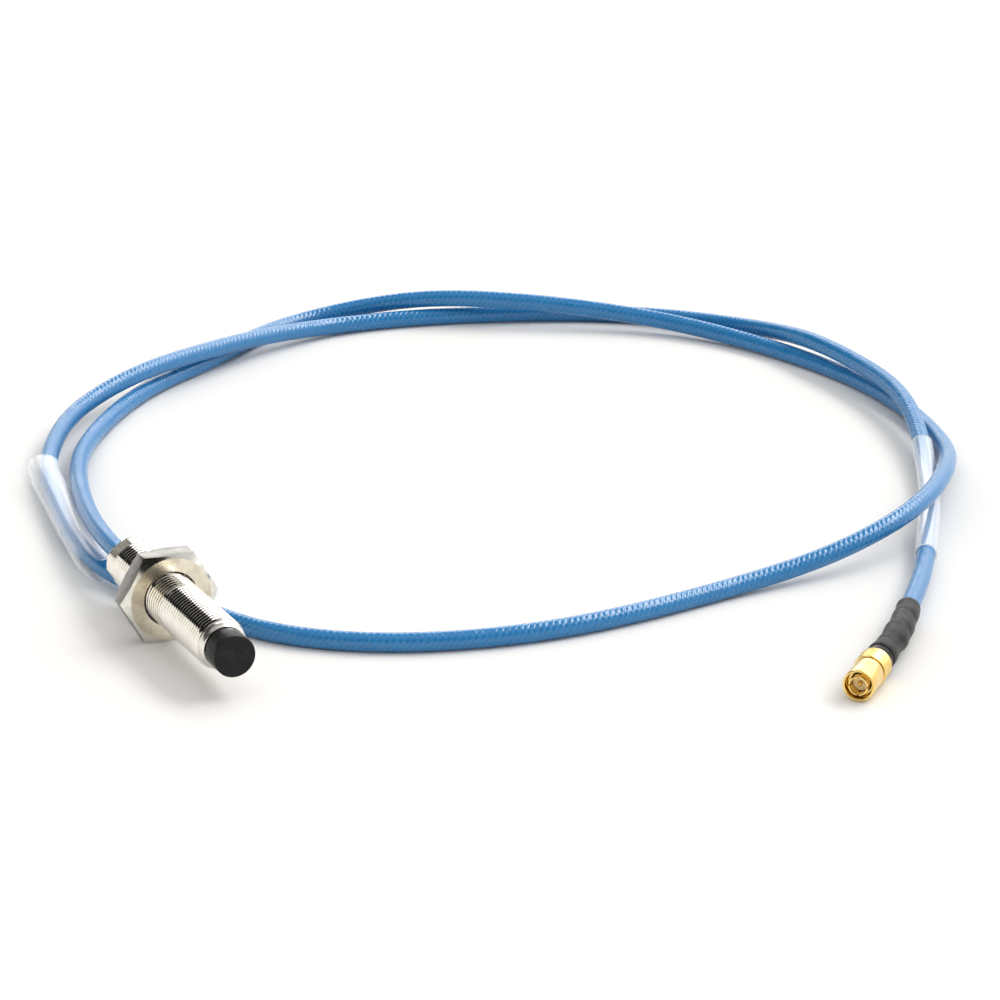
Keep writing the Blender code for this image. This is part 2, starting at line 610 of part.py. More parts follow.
def make_finishes():
    """Every colour and finish that the pieces take."""
    return {
        "steel": make_material("nickel_plate", (0.70, 0.66, 0.60), 0.22, 1.0),
        "black": make_material("black_moulding", (0.012, 0.012, 0.012), 0.5),
        "rubber": make_material("black_rubber", (0.02, 0.02, 0.021), 0.6),
        "jacket": make_material("blue_jacket", (0.02, 0.19, 0.48), 0.25),
        "clear": make_material("clear_sleeve", (0.92, 0.94, 0.94), 0.08, alpha=0.3),
        "gold": make_material("gold_plate", (0.95, 0.66, 0.24), 0.18, 1.0),
        "brass": make_material("brass", (0.72, 0.52, 0.22), 0.3, 1.0),
        "copper": make_material("copper", (0.72, 0.30, 0.12), 0.3, 1.0),
        "braid": make_material("tinned_braid", (0.62, 0.62, 0.60), 0.4, 1.0),
        "ptfe": make_material("white_ptfe", (0.86, 0.85, 0.82), 0.4),
        "former": make_material("former_plastic", (0.55, 0.44, 0.28), 0.5),
        "epoxy": make_material("epoxy", (0.10, 0.07, 0.05), 0.3),
    }


def main():
    """Build every piece of the probe."""
    clear_scene()
    finishes = make_finishes()
    probe = add_empty("probe_axis", Matrix.Translation((0.0, 0.0, AXIS_HEIGHT)))
    make_case(probe, finishes["steel"])
    make_tip(probe, finishes["black"])
    former_rear = make_coil(probe, finishes["former"], finishes["copper"])
    make_lead_end(probe, former_rear, finishes)
    make_nut(probe, finishes["steel"])

    path = lead_path()
    make_lead(path, finishes["jacket"])
    make_sleeve("sleeve_probe_end", path, PROBE_SLEEVE_START, PROBE_SLEEVE_DIAMETER,
                PROBE_SLEEVE_WALL, PROBE_SLEEVE_DROOP, finishes["clear"])
    make_sleeve("sleeve_plug_end", path, PLUG_SLEEVE_START, PLUG_SLEEVE_DIAMETER,
                PLUG_SLEEVE_WALL, 0.0, finishes["clear"])
    make_boot(path, finishes["rubber"])
    make_plug(add_empty("plug_axis", plug_matrix()), finishes)
    bpy.context.view_layer.update()


if __name__ == "__main__":
    main()
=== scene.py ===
"""Eddy current probe with its coiled lead and gold plug, dressed for a studio picture.

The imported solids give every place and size. This script adds the thread, the knurl, the braided
jacket, the clear sleeves, the shrunk boot and every finish, then the floor, the light and the camera.
Lengths are metres in the solids' own frame: +X along the probe to its tip, +Z up.
"""

from __future__ import annotations

import functools
import logging
import math
from dataclasses import dataclass
from enum import Enum

import bmesh
import bpy
import numpy as np
from mathutils import Matrix, Vector


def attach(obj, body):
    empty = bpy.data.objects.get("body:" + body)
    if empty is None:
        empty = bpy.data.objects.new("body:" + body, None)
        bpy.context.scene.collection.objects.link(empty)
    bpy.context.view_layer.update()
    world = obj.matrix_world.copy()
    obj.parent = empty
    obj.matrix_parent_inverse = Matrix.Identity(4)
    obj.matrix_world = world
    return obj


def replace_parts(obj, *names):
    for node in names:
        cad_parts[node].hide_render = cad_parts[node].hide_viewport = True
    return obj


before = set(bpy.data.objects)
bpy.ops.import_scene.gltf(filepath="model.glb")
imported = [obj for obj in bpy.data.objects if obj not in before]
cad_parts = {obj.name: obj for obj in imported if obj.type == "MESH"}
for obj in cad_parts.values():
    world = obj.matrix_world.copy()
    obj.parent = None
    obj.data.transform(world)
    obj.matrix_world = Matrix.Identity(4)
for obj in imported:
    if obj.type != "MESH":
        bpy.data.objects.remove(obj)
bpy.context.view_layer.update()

LOG = logging.getLogger("probe")
MM = 0.001
MICRON = 0.000001
TURN = 2.0 * math.pi
AXIS_HEIGHT = 8.5 * MM            # of the probe's axis, half the nut's width
PROBE_AXIS = Matrix.Translation((0.0, 0.0, AXIS_HEIGHT))
MERGE = 0.5 * MICRON              # points closer than this are one
Array = np.ndarray
Rgb = tuple[float, float, float]
Socket = bpy.types.NodeSocket


class Edge(Enum):
    """How the first and last line of a grid meet."""

    OPEN = "open"
    JOINED = "joined"


class Body(Enum):
    """The solids' moving groups."""

    PROBE = "probe"
    NUT = "nut"


# Node graphs


@dataclass
class Graph:
    """A small writer of shader nodes.

    Args:
        tree: the node tree that it writes to.
    """

    tree: bpy.types.NodeTree

    def node(self, kind: str, **settings: object) -> bpy.types.Node:
        """Add a node.

        Args:
            kind: the end of Blender's type name.
            settings: properties to set on it.

        Returns:
            The new node.
        """
        made = self.tree.nodes.new("ShaderNode" + kind)
        for name, value in settings.items():
            setattr(made, name, value)
        return made

    def put(self, value: object, target: Socket) -> None:
        """Link a socket, or set a plain value.

        Args:
            value: a socket, a number or a colour.
            target: the input to feed.
        """
        if isinstance(value, Socket):
            self.tree.links.new(value, target)
        else:
            target.default_value = value

    def math(self, operation: str, *terms: object) -> Socket:
        """A Math node.

        Args:
            operation: Blender's name of the sum.
            terms: its terms, sockets or numbers.

        Returns:
            The result's socket.
        """
        made = self.node("Math", operation=operation)
        for value, socket in zip(terms, made.inputs):
            self.put(value, socket)
        return made.outputs[0]

    def plus(self, *terms: object) -> Socket:
        """Sum of the terms."""
        return functools.reduce(functools.partial(self.math, "ADD"), terms)

    def times(self, *terms: object) -> Socket:
        """Product of the terms."""
        return functools.reduce(functools.partial(self.math, "MULTIPLY"), terms)

    def highest(self, *terms: object) -> Socket:
        """Highest of the terms."""
        return functools.reduce(functools.partial(self.math, "MAXIMUM"), terms)

    def span(self, value: object, low: float, high: float, start: float = 0.0,
             end: float = 1.0) -> Socket:
        """Map a range to another, clamped and eased at both ends.

        Args:
            value: what is mapped.
            low: start of its own range.
            high: end of its own range.
            start: what low becomes.
            end: what high becomes.

        Returns:
            The result's socket.
        """
        made = self.node("MapRange", interpolation_type="SMOOTHSTEP")
        for number, socket in zip((value, low, high, start, end), made.inputs):
            self.put(number, socket)
        return made.outputs["Result"]

    def wave(self, phase: object) -> Socket:
        """An eased sine of a phase, from 0 to 1."""
        return self.span(self.math("SINE", phase), -1.0, 1.0)

    def blend(self, share: object, first: Rgb, second: Rgb) -> Socket:
        """Mix two colours.

        Args:
            share: how much of the second shows.
            first: first colour.
            second: second colour.

        Returns:
            The mixed colour's socket.
        """
        made = self.node("Mix", data_type="RGBA")
        for value, number in ((share, 0), ((*first, 1.0), 6), ((*second, 1.0), 7)):
            self.put(value, made.inputs[number])
        return made.outputs[2]

    def place(self, source: str, **changes: tuple[float, float, float]) -> Socket:
        """Coordinates for a pattern.

        Args:
            source: Object, UV or Generated.
            changes: Scale, Location or Rotation of the pattern's space.

        Returns:
            The vector's socket.
        """
        mapping = self.node("Mapping")
        self.put(self.node("TexCoord").outputs[source], mapping.inputs["Vector"])
        for name, value in changes.items():
            self.put(value, mapping.inputs[name])
        return mapping.outputs["Vector"]

    def split(self, source: str, **changes: tuple[float, float, float]) -> list[Socket]:
        """The three parts of some coordinates, which are chosen as for place."""
        made = self.node("SeparateXYZ")
        self.put(self.place(source, **changes), made.inputs[0])
        return list(made.outputs)

    def noise(self, scale: float | tuple[float, float, float], detail: float = 2.0,
              roughness: float = 0.5, turn: float = 0.0) -> Socket:
        """Noise from 0 to 1 over the object's own coordinates.

        Args:
            scale: grains a metre, along all axes or along each.
            detail: octaves.
            roughness: how much the fine octaves count.
            turn: turn of the pattern about Z.

        Returns:
            The value's socket.
        """
        made = self.node("TexNoise")
        size = (scale, scale, scale) if isinstance(scale, float) else scale
        vector = self.place("Object", Scale=size, Rotation=(0.0, 0.0, turn))
        for name, value in (("Vector", vector), ("Scale", 1.0), ("Detail", detail),
                            ("Roughness", roughness)):
            self.put(value, made.inputs[name])
        return made.outputs["Fac"]

    def bump(self, height: object, depth: float) -> Socket:
        """A bump from a height.

        Args:
            height: height from 0 to 1.
            depth: how deep a height of 1 is.

        Returns:
            The normal's socket.
        """
        made = self.node("Bump")
        for name, value in (("Strength", 1.0), ("Distance", depth), ("Height", height)):
            self.put(value, made.inputs[name])
        return made.outputs["Normal"]


# Finishes


@dataclass(frozen=True)
class Finish:
    """What every finish has.

    Args:
        name: the material's name.
    """

    name: str

    def feeds(self, graph: Graph) -> dict[str, object]:
        """What goes into the shader.

        Args:
            graph: where the nodes go.

        Returns:
            A socket, number or colour for each input that the finish sets.
        """
        raise NotImplementedError

    def material(self) -> bpy.types.Material:
        """Build the material from its feeds."""
        material = bpy.data.materials.new(self.name)
        material.use_nodes = True
        graph = Graph(material.node_tree)
        shader = material.node_tree.nodes["Principled BSDF"]
        for name, value in self.feeds(graph).items():
            graph.put(value, shader.inputs[name])
        return material


@dataclass(frozen=True)
class NickelPlate(Finish):
    """Bright nickel over machined steel, cloudier where the tool has left the face matt.

    Args:
        colour: metal's own tint.
        cloud: tint of the duller patches.
        gloss: roughness of the bright parts.
        matt: roughness of the dull parts.
        lines: depth of the tool lines.
        line_scale: tool lines a metre along each axis.
    """

    name: str = "nickel_thread"
    colour: Rgb = (0.86, 0.83, 0.78)
    cloud: Rgb = (0.80, 0.76, 0.70)
    gloss: float = 0.05
    matt: float = 0.12
    lines: float = 0.6 * MICRON
    line_scale: tuple[float, float, float] = (4000.0, 900.0, 900.0)

    def feeds(self, graph: Graph) -> dict[str, object]:
        """Clouds over fine tool lines."""
        patches = graph.noise(420.0, 4.0, 0.6)
        return {
            "Base Color": graph.blend(graph.span(patches, 0.38, 0.66), self.colour, self.cloud),
            "Roughness": graph.span(patches, 0.35, 0.7, self.gloss, self.matt),
            "Metallic": 1.0,
            "Normal": graph.bump(graph.noise(self.line_scale, 3.0, 0.7), self.lines),
        }


@dataclass(frozen=True)
class TurnedFace(Finish):
    """A face turned on a lathe: fine rings about the probe's axis over a satin plate.

    Args:
        colour: metal's own tint.
        stain: tint of the brown bloom in the plate.
        ring_pitch: distance between tool rings.
        depth: how deep they are.
        gloss: roughness in the clear parts.
        matt: roughness in the bloom.
    """

    name: str = "nickel_face"
    colour: Rgb = (0.80, 0.735, 0.61)
    stain: Rgb = (0.54, 0.48, 0.37)
    ring_pitch: float = 0.11 * MM
    depth: float = 1.5 * MICRON
    gloss: float = 0.14
    matt: float = 0.24

    def feeds(self, graph: Graph) -> dict[str, object]:
        """Rings, a sine of the distance to the axis, with bloom and speckle."""
        _, across, over = graph.split("Object", Location=(0.0, 0.0, -AXIS_HEIGHT))
        radius = graph.math("SQRT", graph.plus(graph.times(across, across), graph.times(over, over)))
        rings = graph.wave(graph.times(radius, TURN / self.ring_pitch))
        bloom, speckle = graph.noise(260.0, 5.0, 0.62), graph.noise(2600.0, 2.0, 0.6)
        stained = graph.times(graph.span(bloom, 0.40, 0.72), 0.85)
        height = graph.plus(graph.times(rings, 0.5), graph.times(speckle, 0.3))
        return {
            "Base Color": graph.blend(stained, self.colour, self.stain),
            "Roughness": graph.plus(graph.span(bloom, 0.35, 0.7, self.gloss, self.matt),
                                    graph.times(speckle, 0.04)),
            "Metallic": 1.0,
            "Normal": graph.bump(height, self.depth),
        }


@dataclass(frozen=True)
class GoldPlate(Finish):
    """Bright gold plate with fine turning lines round the plug's own axis.

    Args:
        colour: the plate's tint.
        warm: tint of its duller patches.
        gloss: roughness.
        depth: depth of the turning lines.
        turn: turn of the lines, which lie across the plug's heading.
    """

    name: str = "gold_plate"
    colour: Rgb = (0.92, 0.69, 0.25)
    warm: Rgb = (0.86, 0.56, 0.16)
    gloss: float = 0.13
    depth: float = 2.5 * MICRON
    turn: float = math.radians(45.0)

    def feeds(self, graph: Graph) -> dict[str, object]:
        """Clouds over turning lines."""
        patches = graph.noise(500.0, 3.0, 0.6)
        lines = graph.noise((9000.0, 300.0, 300.0), 2.0, 0.6, self.turn)
        return {
            "Base Color": graph.blend(graph.span(patches, 0.4, 0.7), self.colour, self.warm),
            "Roughness": graph.span(patches, 0.3, 0.75, self.gloss, self.gloss + 0.08),
            "Metallic": 1.0,
            "Normal": graph.bump(lines, self.depth),
        }


@dataclass(frozen=True)
class BraidedJacket(Finish):
    """A blue fluoropolymer jacket drawn tight over a braid, whose picks show through as ribs.

    The piece's UV runs in metres: U along the lead, V round it.

    Args:
        deep: colour in the rib hollows, where it is painted shade, and in the darker random mottling.
        clear: colour on the ribs, clear of the painted shade, and in the lighter random mottling.
        pick: distance along the lead from one rib to the next.
        starts: ribs that a turn round the lead crosses.
        girth: distance round the lead.
        depth: height of the ribs.
        gloss: roughness of the jacket.
    """

    name: str = "blue_jacket"
    deep: Rgb = (0.007, 0.128, 0.350)
    clear: Rgb = (0.025, 0.212, 0.460)
    pick: float = 1.25 * MM
    starts: int = 6
    girth: float = 3.7 * MM * math.pi
    depth: float = 65.0 * MICRON
    gloss: float = 0.15

    def feeds(self, graph: Graph) -> dict[str, object]:
        """Ribs in the bump, with painted shade in the colour of their hollows, under random mottling.

        The ribs are a family of helices, the sine of 2 pi (u / pick + starts v / girth), with a
        weaker family the other way, whose sine has a minus there. Noise fades both by places.

        Args:
            graph: where the nodes go.

        Returns:
            What goes into the shader.
        """
        u, v, _ = graph.split("UV")
        along = graph.plus(graph.times(u, TURN / self.pick), graph.times(graph.noise(140.0, 3.0), 4.0))
        around = graph.times(v, TURN * self.starts / self.girth)
        ribs = graph.wave(graph.plus(along, around))
        other = graph.wave(graph.math("SUBTRACT", along, around))
        uneven, cloth = graph.noise(330.0), graph.noise(1500.0, 2.0, 0.6)
        # Painted shade: the colour darkens in the hollows between the ribs, mixed with random mottling.
        rib_shade_and_mottle = graph.plus(graph.times(ribs, 0.3), graph.times(uneven, 0.5), graph.times(cloth, 0.2))
        woven = graph.times(graph.plus(ribs, graph.times(other, 0.35)),
                            graph.span(uneven, 0.3, 0.65, 0.45, 1.0))
        return {
            "Base Color": graph.blend(rib_shade_and_mottle, self.deep, self.clear),
            "Roughness": graph.span(cloth, 0.3, 0.75, self.gloss, self.gloss + 0.08),
            "Specular IOR Level": 0.6,
            "Normal": graph.bump(graph.plus(woven, graph.times(uneven, 0.8)), self.depth),
        }


@dataclass(frozen=True)
class ClearTube(Finish):
    """Clear thin fluoropolymer tube: almost nothing face on, milky where its wall is seen edgeways.

    Args:
        face: share of the light that one skin stops face on.
        edge: the same where the skin is seen edgeways.
        gloss: roughness.
        haze: how much its faint clouds add.
        mirror: share of the cover that reflects plainly, the rest being milky.
    """

    name: str = "clear_tube"
    face: float = 0.035
    edge: float = 0.60
    gloss: float = 0.10
    haze: float = 0.015
    mirror: float = 0.5

    def feeds(self, graph: Graph) -> dict[str, object]:
        """A cover that grows with the angle between the view and the skin."""
        clouds = graph.noise(500.0, 3.0)
        veil = graph.span(graph.node("LayerWeight").outputs["Facing"], 0.45, 1.0, self.face, self.edge)
        return {
            "Base Color": (1.0, 1.0, 1.0, 1.0),
            "Alpha": graph.plus(veil, graph.times(clouds, self.haze)),
            "Roughness": graph.span(clouds, 0.35, 0.8, self.gloss, self.gloss + 0.08),
            "Metallic": self.mirror,
            "Normal": graph.bump(graph.noise(180.0, 1.0), 20.0 * MICRON),
        }


@dataclass(frozen=True)
class BlackPolymer(Finish):
    """A black moulding or rubber: fine grain, rubbed patches and a little dust in the pores.

    Args:
        dark: base colour.
        rubbed: colour where it is handled.
        gloss: lowest roughness.
        matt: highest roughness.
        grain: grains a metre.
        depth: depth of the grain.
        specular: strength of its plain reflection.
    """

    name: str = "black_moulding"
    dark: Rgb = (0.016, 0.016, 0.0162)
    rubbed: Rgb = (0.036, 0.036, 0.035)
    gloss: float = 0.20
    matt: float = 0.32
    grain: float = 3800.0
    depth: float = 6.0 * MICRON
    specular: float = 0.06

    def feeds(self, graph: Graph) -> dict[str, object]:
        """Rubbed patches over grain."""
        patches, grain = graph.noise(330.0, 4.0, 0.6), graph.noise(self.grain, 2.0, 0.6)
        worn = graph.plus(graph.times(graph.span(patches, 0.45, 0.75), 0.6), graph.times(grain, 0.25))
        return {
            "Base Color": graph.blend(worn, self.dark, self.rubbed),
            "Roughness": graph.span(patches, 0.3, 0.75, self.gloss, self.matt),
            "Specular IOR Level": self.specular,
            "Normal": graph.bump(grain, self.depth),
        }


@dataclass(frozen=True)
class InnerFinish(Finish):
    """A plain finish for a piece inside the case or the plug, with light mottling.

    Args:
        colour: base colour.
        shade: colour of the mottling.
        gloss: roughness.
        metallic: 1 for a metal.
        weave: ribs a metre of a braid or a winding, or 0.
    """

    colour: Rgb
    shade: Rgb
    gloss: float
    metallic: float = 0.0
    weave: float = 0.0

    def feeds(self, graph: Graph) -> dict[str, object]:
        """Mottling, with ribs where there is a weave."""
        height = patches = graph.noise(800.0, 3.0)
        if self.weave:
            height = graph.math("SINE", graph.times(graph.split("Object")[0], TURN * self.weave))
        return {
            "Base Color": graph.blend(graph.span(patches, 0.35, 0.7), self.colour, self.shade),
            "Roughness": graph.span(patches, 0.3, 0.7, self.gloss, self.gloss + 0.1),
            "Metallic": self.metallic,
            "Normal": graph.bump(height, 10.0 * MICRON),
        }


@dataclass(frozen=True)
class TablePaint(Finish):
    """Matt pale paint, very slightly uneven.

    Args:
        colour: the table's colour.
        gloss: its roughness.
    """

    name: str = "table_paint"
    colour: Rgb = (0.838, 0.830, 0.817)
    gloss: float = 0.5

    def feeds(self, graph: Graph) -> dict[str, object]:
        """Broad faint clouds and no plain reflection."""
        tint = tuple(0.985 * c for c in self.colour)
        return {
            "Base Color": graph.blend(graph.noise(9.0), self.colour, tint),
            "Roughness": self.gloss,
            "Specular IOR Level": 0.0,
        }


# Surfaces


def linked(name: str, data: bpy.types.ID) -> bpy.types.Object:
    """A new object in the scene, from its mesh, camera or light."""
    made = bpy.data.objects.new(name, data)
    bpy.context.collection.objects.link(made)
    return made


def grid_object(name: str, points: Array, rows: Edge, columns: Edge, material: bpy.types.Material,
                body: Body, along: Array | None = None, girth: float = 1.0,
                sharp: float = 35.0) -> bpy.types.Object:
    """A piece from a grid of points, one surface of two parameters.

    Each cell of the grid is a face. Points that coincide are merged, so seams and poles close, and
    the faces are then turned outwards.

    Args:
        name: the piece's name.
        points: array of rows, columns and 3.
        rows: whether the last row meets the first.
        columns: whether the last column meets the first.
        material: what it is made of.
        body: the group that it rides on.
        along: distance along the piece of each row, for UV.
        girth: distance round the piece, for UV.
        sharp: angle in degrees above which an edge stays sharp.

    Returns:
        The new object.
    """
    n, m = points.shape[:2]
    i = np.arange(n if rows is Edge.JOINED else n - 1)
    j = np.arange(m if columns is Edge.JOINED else m - 1)
    i, j = (a.ravel() for a in np.meshgrid(i, j, indexing="ij"))
    ni, nj = (i + 1) % n, (j + 1) % m
    quads = np.stack([i * m + j, i * m + nj, ni * m + nj, ni * m + j], axis=1)
    mesh = bpy.data.meshes.new(name)
    mesh.from_pydata(points.reshape(-1, 3).tolist(), [], quads.tolist())
    if along is not None:
        u = np.append(along, along[-1] + along[1] - along[0])
        v = np.linspace(0.0, girth, len(np.unique(j)) + 1)
        uv = np.stack([np.stack([u[i], v[j]], 1), np.stack([u[i], v[j + 1]], 1),
                       np.stack([u[i + 1], v[j + 1]], 1), np.stack([u[i + 1], v[j]], 1)], axis=1)
        mesh.uv_layers.new(name="UVMap").data.foreach_set("uv", uv.astype(np.float32).ravel())
    solid = bmesh.new()
    solid.from_mesh(mesh)
    bmesh.ops.remove_doubles(solid, verts=solid.verts, dist=MERGE)
    bmesh.ops.recalc_face_normals(solid, faces=solid.faces)
    solid.to_mesh(mesh)
    solid.free()
    mesh.materials.append(material)
    mesh.shade_smooth()
    mesh.set_sharp_from_angle(angle=math.radians(sharp))
    piece = linked(name, mesh)
    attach(piece, body.value)
    LOG.info("%s: %d faces", name, len(mesh.polygons))
    return piece


def faces_of(piece: bpy.types.Object) -> tuple[Array, Array]:
    """Middles and normals of a piece's faces."""
    return (np.array([p.center for p in piece.data.polygons]),
            np.array([p.normal for p in piece.data.polygons]))


def refinish(piece: bpy.types.Object, *choices: tuple[Finish, Array]) -> None:
    """Give some of a piece's faces other finishes.

    Args:
        piece: the piece.
        choices: each finish with a mask of its faces.
    """
    index = np.zeros(len(piece.data.polygons), dtype=np.int32)
    for number, (finish, mask) in enumerate(choices, 1):
        piece.data.materials.append(finish.material())
        index[mask] = number
    piece.data.polygons.foreach_set("material_index", index)


def moved(points: Array, place: Matrix) -> Array:
    """Points of any shape moved by a matrix."""
    matrix = np.asarray(place)
    return points @ matrix[:3, :3].T + matrix[:3, 3]


def ring(x: Array | float, radius: Array | float, angle: Array) -> Array:
    """One row of (x, angle, radius) all the way round."""
    return np.stack(np.broadcast_arrays(x, angle, radius), axis=-1)[None]


def wound(grid: Array, place: Matrix) -> Array:
    """Points of a grid about X: (x, t, r) becomes (x, r cos t, r sin t), moved by a matrix.

    Args:
        grid: array whose last axis is place, angle and radius.
        place: where the form goes.

    Returns:
        The points.
    """
    x, t, r = np.moveaxis(grid, -1, 0)
    return moved(np.stack([x, r * np.cos(t), r * np.sin(t)], axis=-1), place)


def turned(outline: list[tuple[float, float]], sides: int, place: Matrix) -> Array:
    """Turn a closed outline about X.

    Args:
        outline: places along X and radii.
        sides: points round.
        place: where the turned form goes.

    Returns:
        Points as rows of the outline and columns round.
    """
    angle = np.arange(sides) * TURN / sides
    return wound(np.concatenate([ring(x, r, angle) for x, r in outline]), place)


def rounded(outline: list[tuple[float, float, float]], steps: int = 4) -> list[tuple[float, float]]:
    """Round the corners of a closed outline.

    Each corner of radius q is replaced by an arc that touches both of its sides.

    Args:
        outline: places along X, radii, and each corner's own radius.
        steps: faces on each arc.

    Returns:
        The outline's points.
    """
    made: list[tuple[float, float]] = []
    for k, (x, r, q) in enumerate(outline):
        if q <= 0.0:
            made.append((x, r))
            continue
        here = np.array([x, r])
        before = np.array(outline[k - 1][:2]) - here
        after = np.array(outline[(k + 1) % len(outline)][:2]) - here
        a, b = before / np.linalg.norm(before), after / np.linalg.norm(after)
        half = math.acos(float(np.clip(a @ b, -1.0, 1.0))) / 2.0
        reach = min(q / math.tan(half), 0.49 * np.linalg.norm(before), 0.49 * np.linalg.norm(after))
        size = reach * math.tan(half)
        centre = here + (a + b) / np.linalg.norm(a + b) * size / math.sin(half)
        start, end = here + a * reach - centre, here + b * reach - centre
        sweep = math.atan2(start[0] * end[1] - start[1] * end[0], float(start @ end))
        for t in np.linspace(0.0, sweep, steps + 1):
            c, s = math.cos(t), math.sin(t)
            made.append((float(centre[0] + c * start[0] - s * start[1]),
                         float(centre[1] + s * start[0] + c * start[1])))
    return made


def cut_box(piece: bpy.types.Object, size: Vector, place: Matrix) -> None:
    """Cut a box out of a piece and keep the result as its mesh.

    Args:
        piece: what is cut.
        size: the box's three sizes.
        place: the box's frame.
    """
    solid = bmesh.new()
    bmesh.ops.create_cube(solid, size=1.0, matrix=place @ Matrix.Diagonal((*size, 1.0)))
    mesh = bpy.data.meshes.new("cutter")
    solid.to_mesh(mesh)
    solid.free()
    cutter = linked("cutter", mesh)
    modifier = piece.modifiers.new("cut", "BOOLEAN")
    modifier.object, modifier.operation, modifier.solver = cutter, "DIFFERENCE", "EXACT"
    ready = piece.evaluated_get(bpy.context.evaluated_depsgraph_get())
    result = bpy.data.meshes.new_from_object(ready)
    piece.modifiers.clear()
    piece.data = result
    bpy.data.objects.remove(cutter)


@dataclass(frozen=True)
class Screw:
    """A fine right-hand thread's surface.

    Args:
        crest: radius of the crest.
        root: radius of the root.
        land: share of the pitch that the crest takes.
        pitch: travel a turn.
    """

    crest: float
    root: float
    land: float = 0.52
    pitch: float = 1.0 * MM

    def radius(self, phase: Array) -> Array:
        """Radius at a phase of the pitch, in turns.

        The distance from the crest's middle is folded to 0 to a half. Within half the land the
        radius is the crest's, and beyond it falls in a straight flank to the root at a half.

        Args:
            phase: phase at each place.

        Returns:
            The radius there.
        """
        away = np.abs((phase + 0.5) % 1.0 - 0.5)
        fall = np.clip((away - self.land / 2) / (0.49 - self.land / 2), 0.0, 1.0)
        return self.crest + (self.root - self.crest) * fall

    def rows(self, start: float, end: float) -> Array:
        """Place along the axis of each row at angle 0, over the thread's length and one pitch more."""
        half = self.land / 2
        steps = np.array([-half - 0.02, -half + 0.03, half - 0.03, half + 0.02, 0.39, 0.5, -0.39])
        turns = np.arange(math.floor(start / self.pitch) - 2, math.ceil(end / self.pitch) + 2)
        places = np.sort((turns[:, None] + steps[None, :]).ravel()) * self.pitch
        return places[(places > start - 1.05 * self.pitch) & (places < end + 0.05 * self.pitch)]

    def surface(self, start: float, end: float, angle: Array, bevels: tuple[float, float],
                outward: bool = True) -> Array:
        """The thread between two places on its axis, as rows, columns and (x, angle, radius).

        Row k at angle t lies at x = x_k + pitch t / 2 pi, held between start and end. The phase is
        x / pitch - t / 2 pi, so rows that are held at an end fall together. A bevel at an end brings
        the crest down to the root.

        Args:
            start: lower end.
            end: upper end.
            angle: angle of each column, from 0 to a whole turn.
            bevels: length of the bevel at the start and at the end, 0 for none.
            outward: True for a bolt, False for a nut.

        Returns:
            The grid.
        """
        travel = angle / TURN
        x = np.clip(self.rows(start, end)[:, None] + self.pitch * travel, start, end)
        radius = self.radius(x / self.pitch - travel)
        for bevel, depth in zip(bevels, (x - start, end - x)):
            if bevel > 0.0:
                gate = self.root + (self.crest - self.root) * np.clip(depth / bevel, 0.0, 1.0)
                radius = np.minimum(radius, gate) if outward else np.maximum(radius, gate)
        return np.stack([x, np.broadcast_to(angle, x.shape), radius], axis=-1)


# The probe


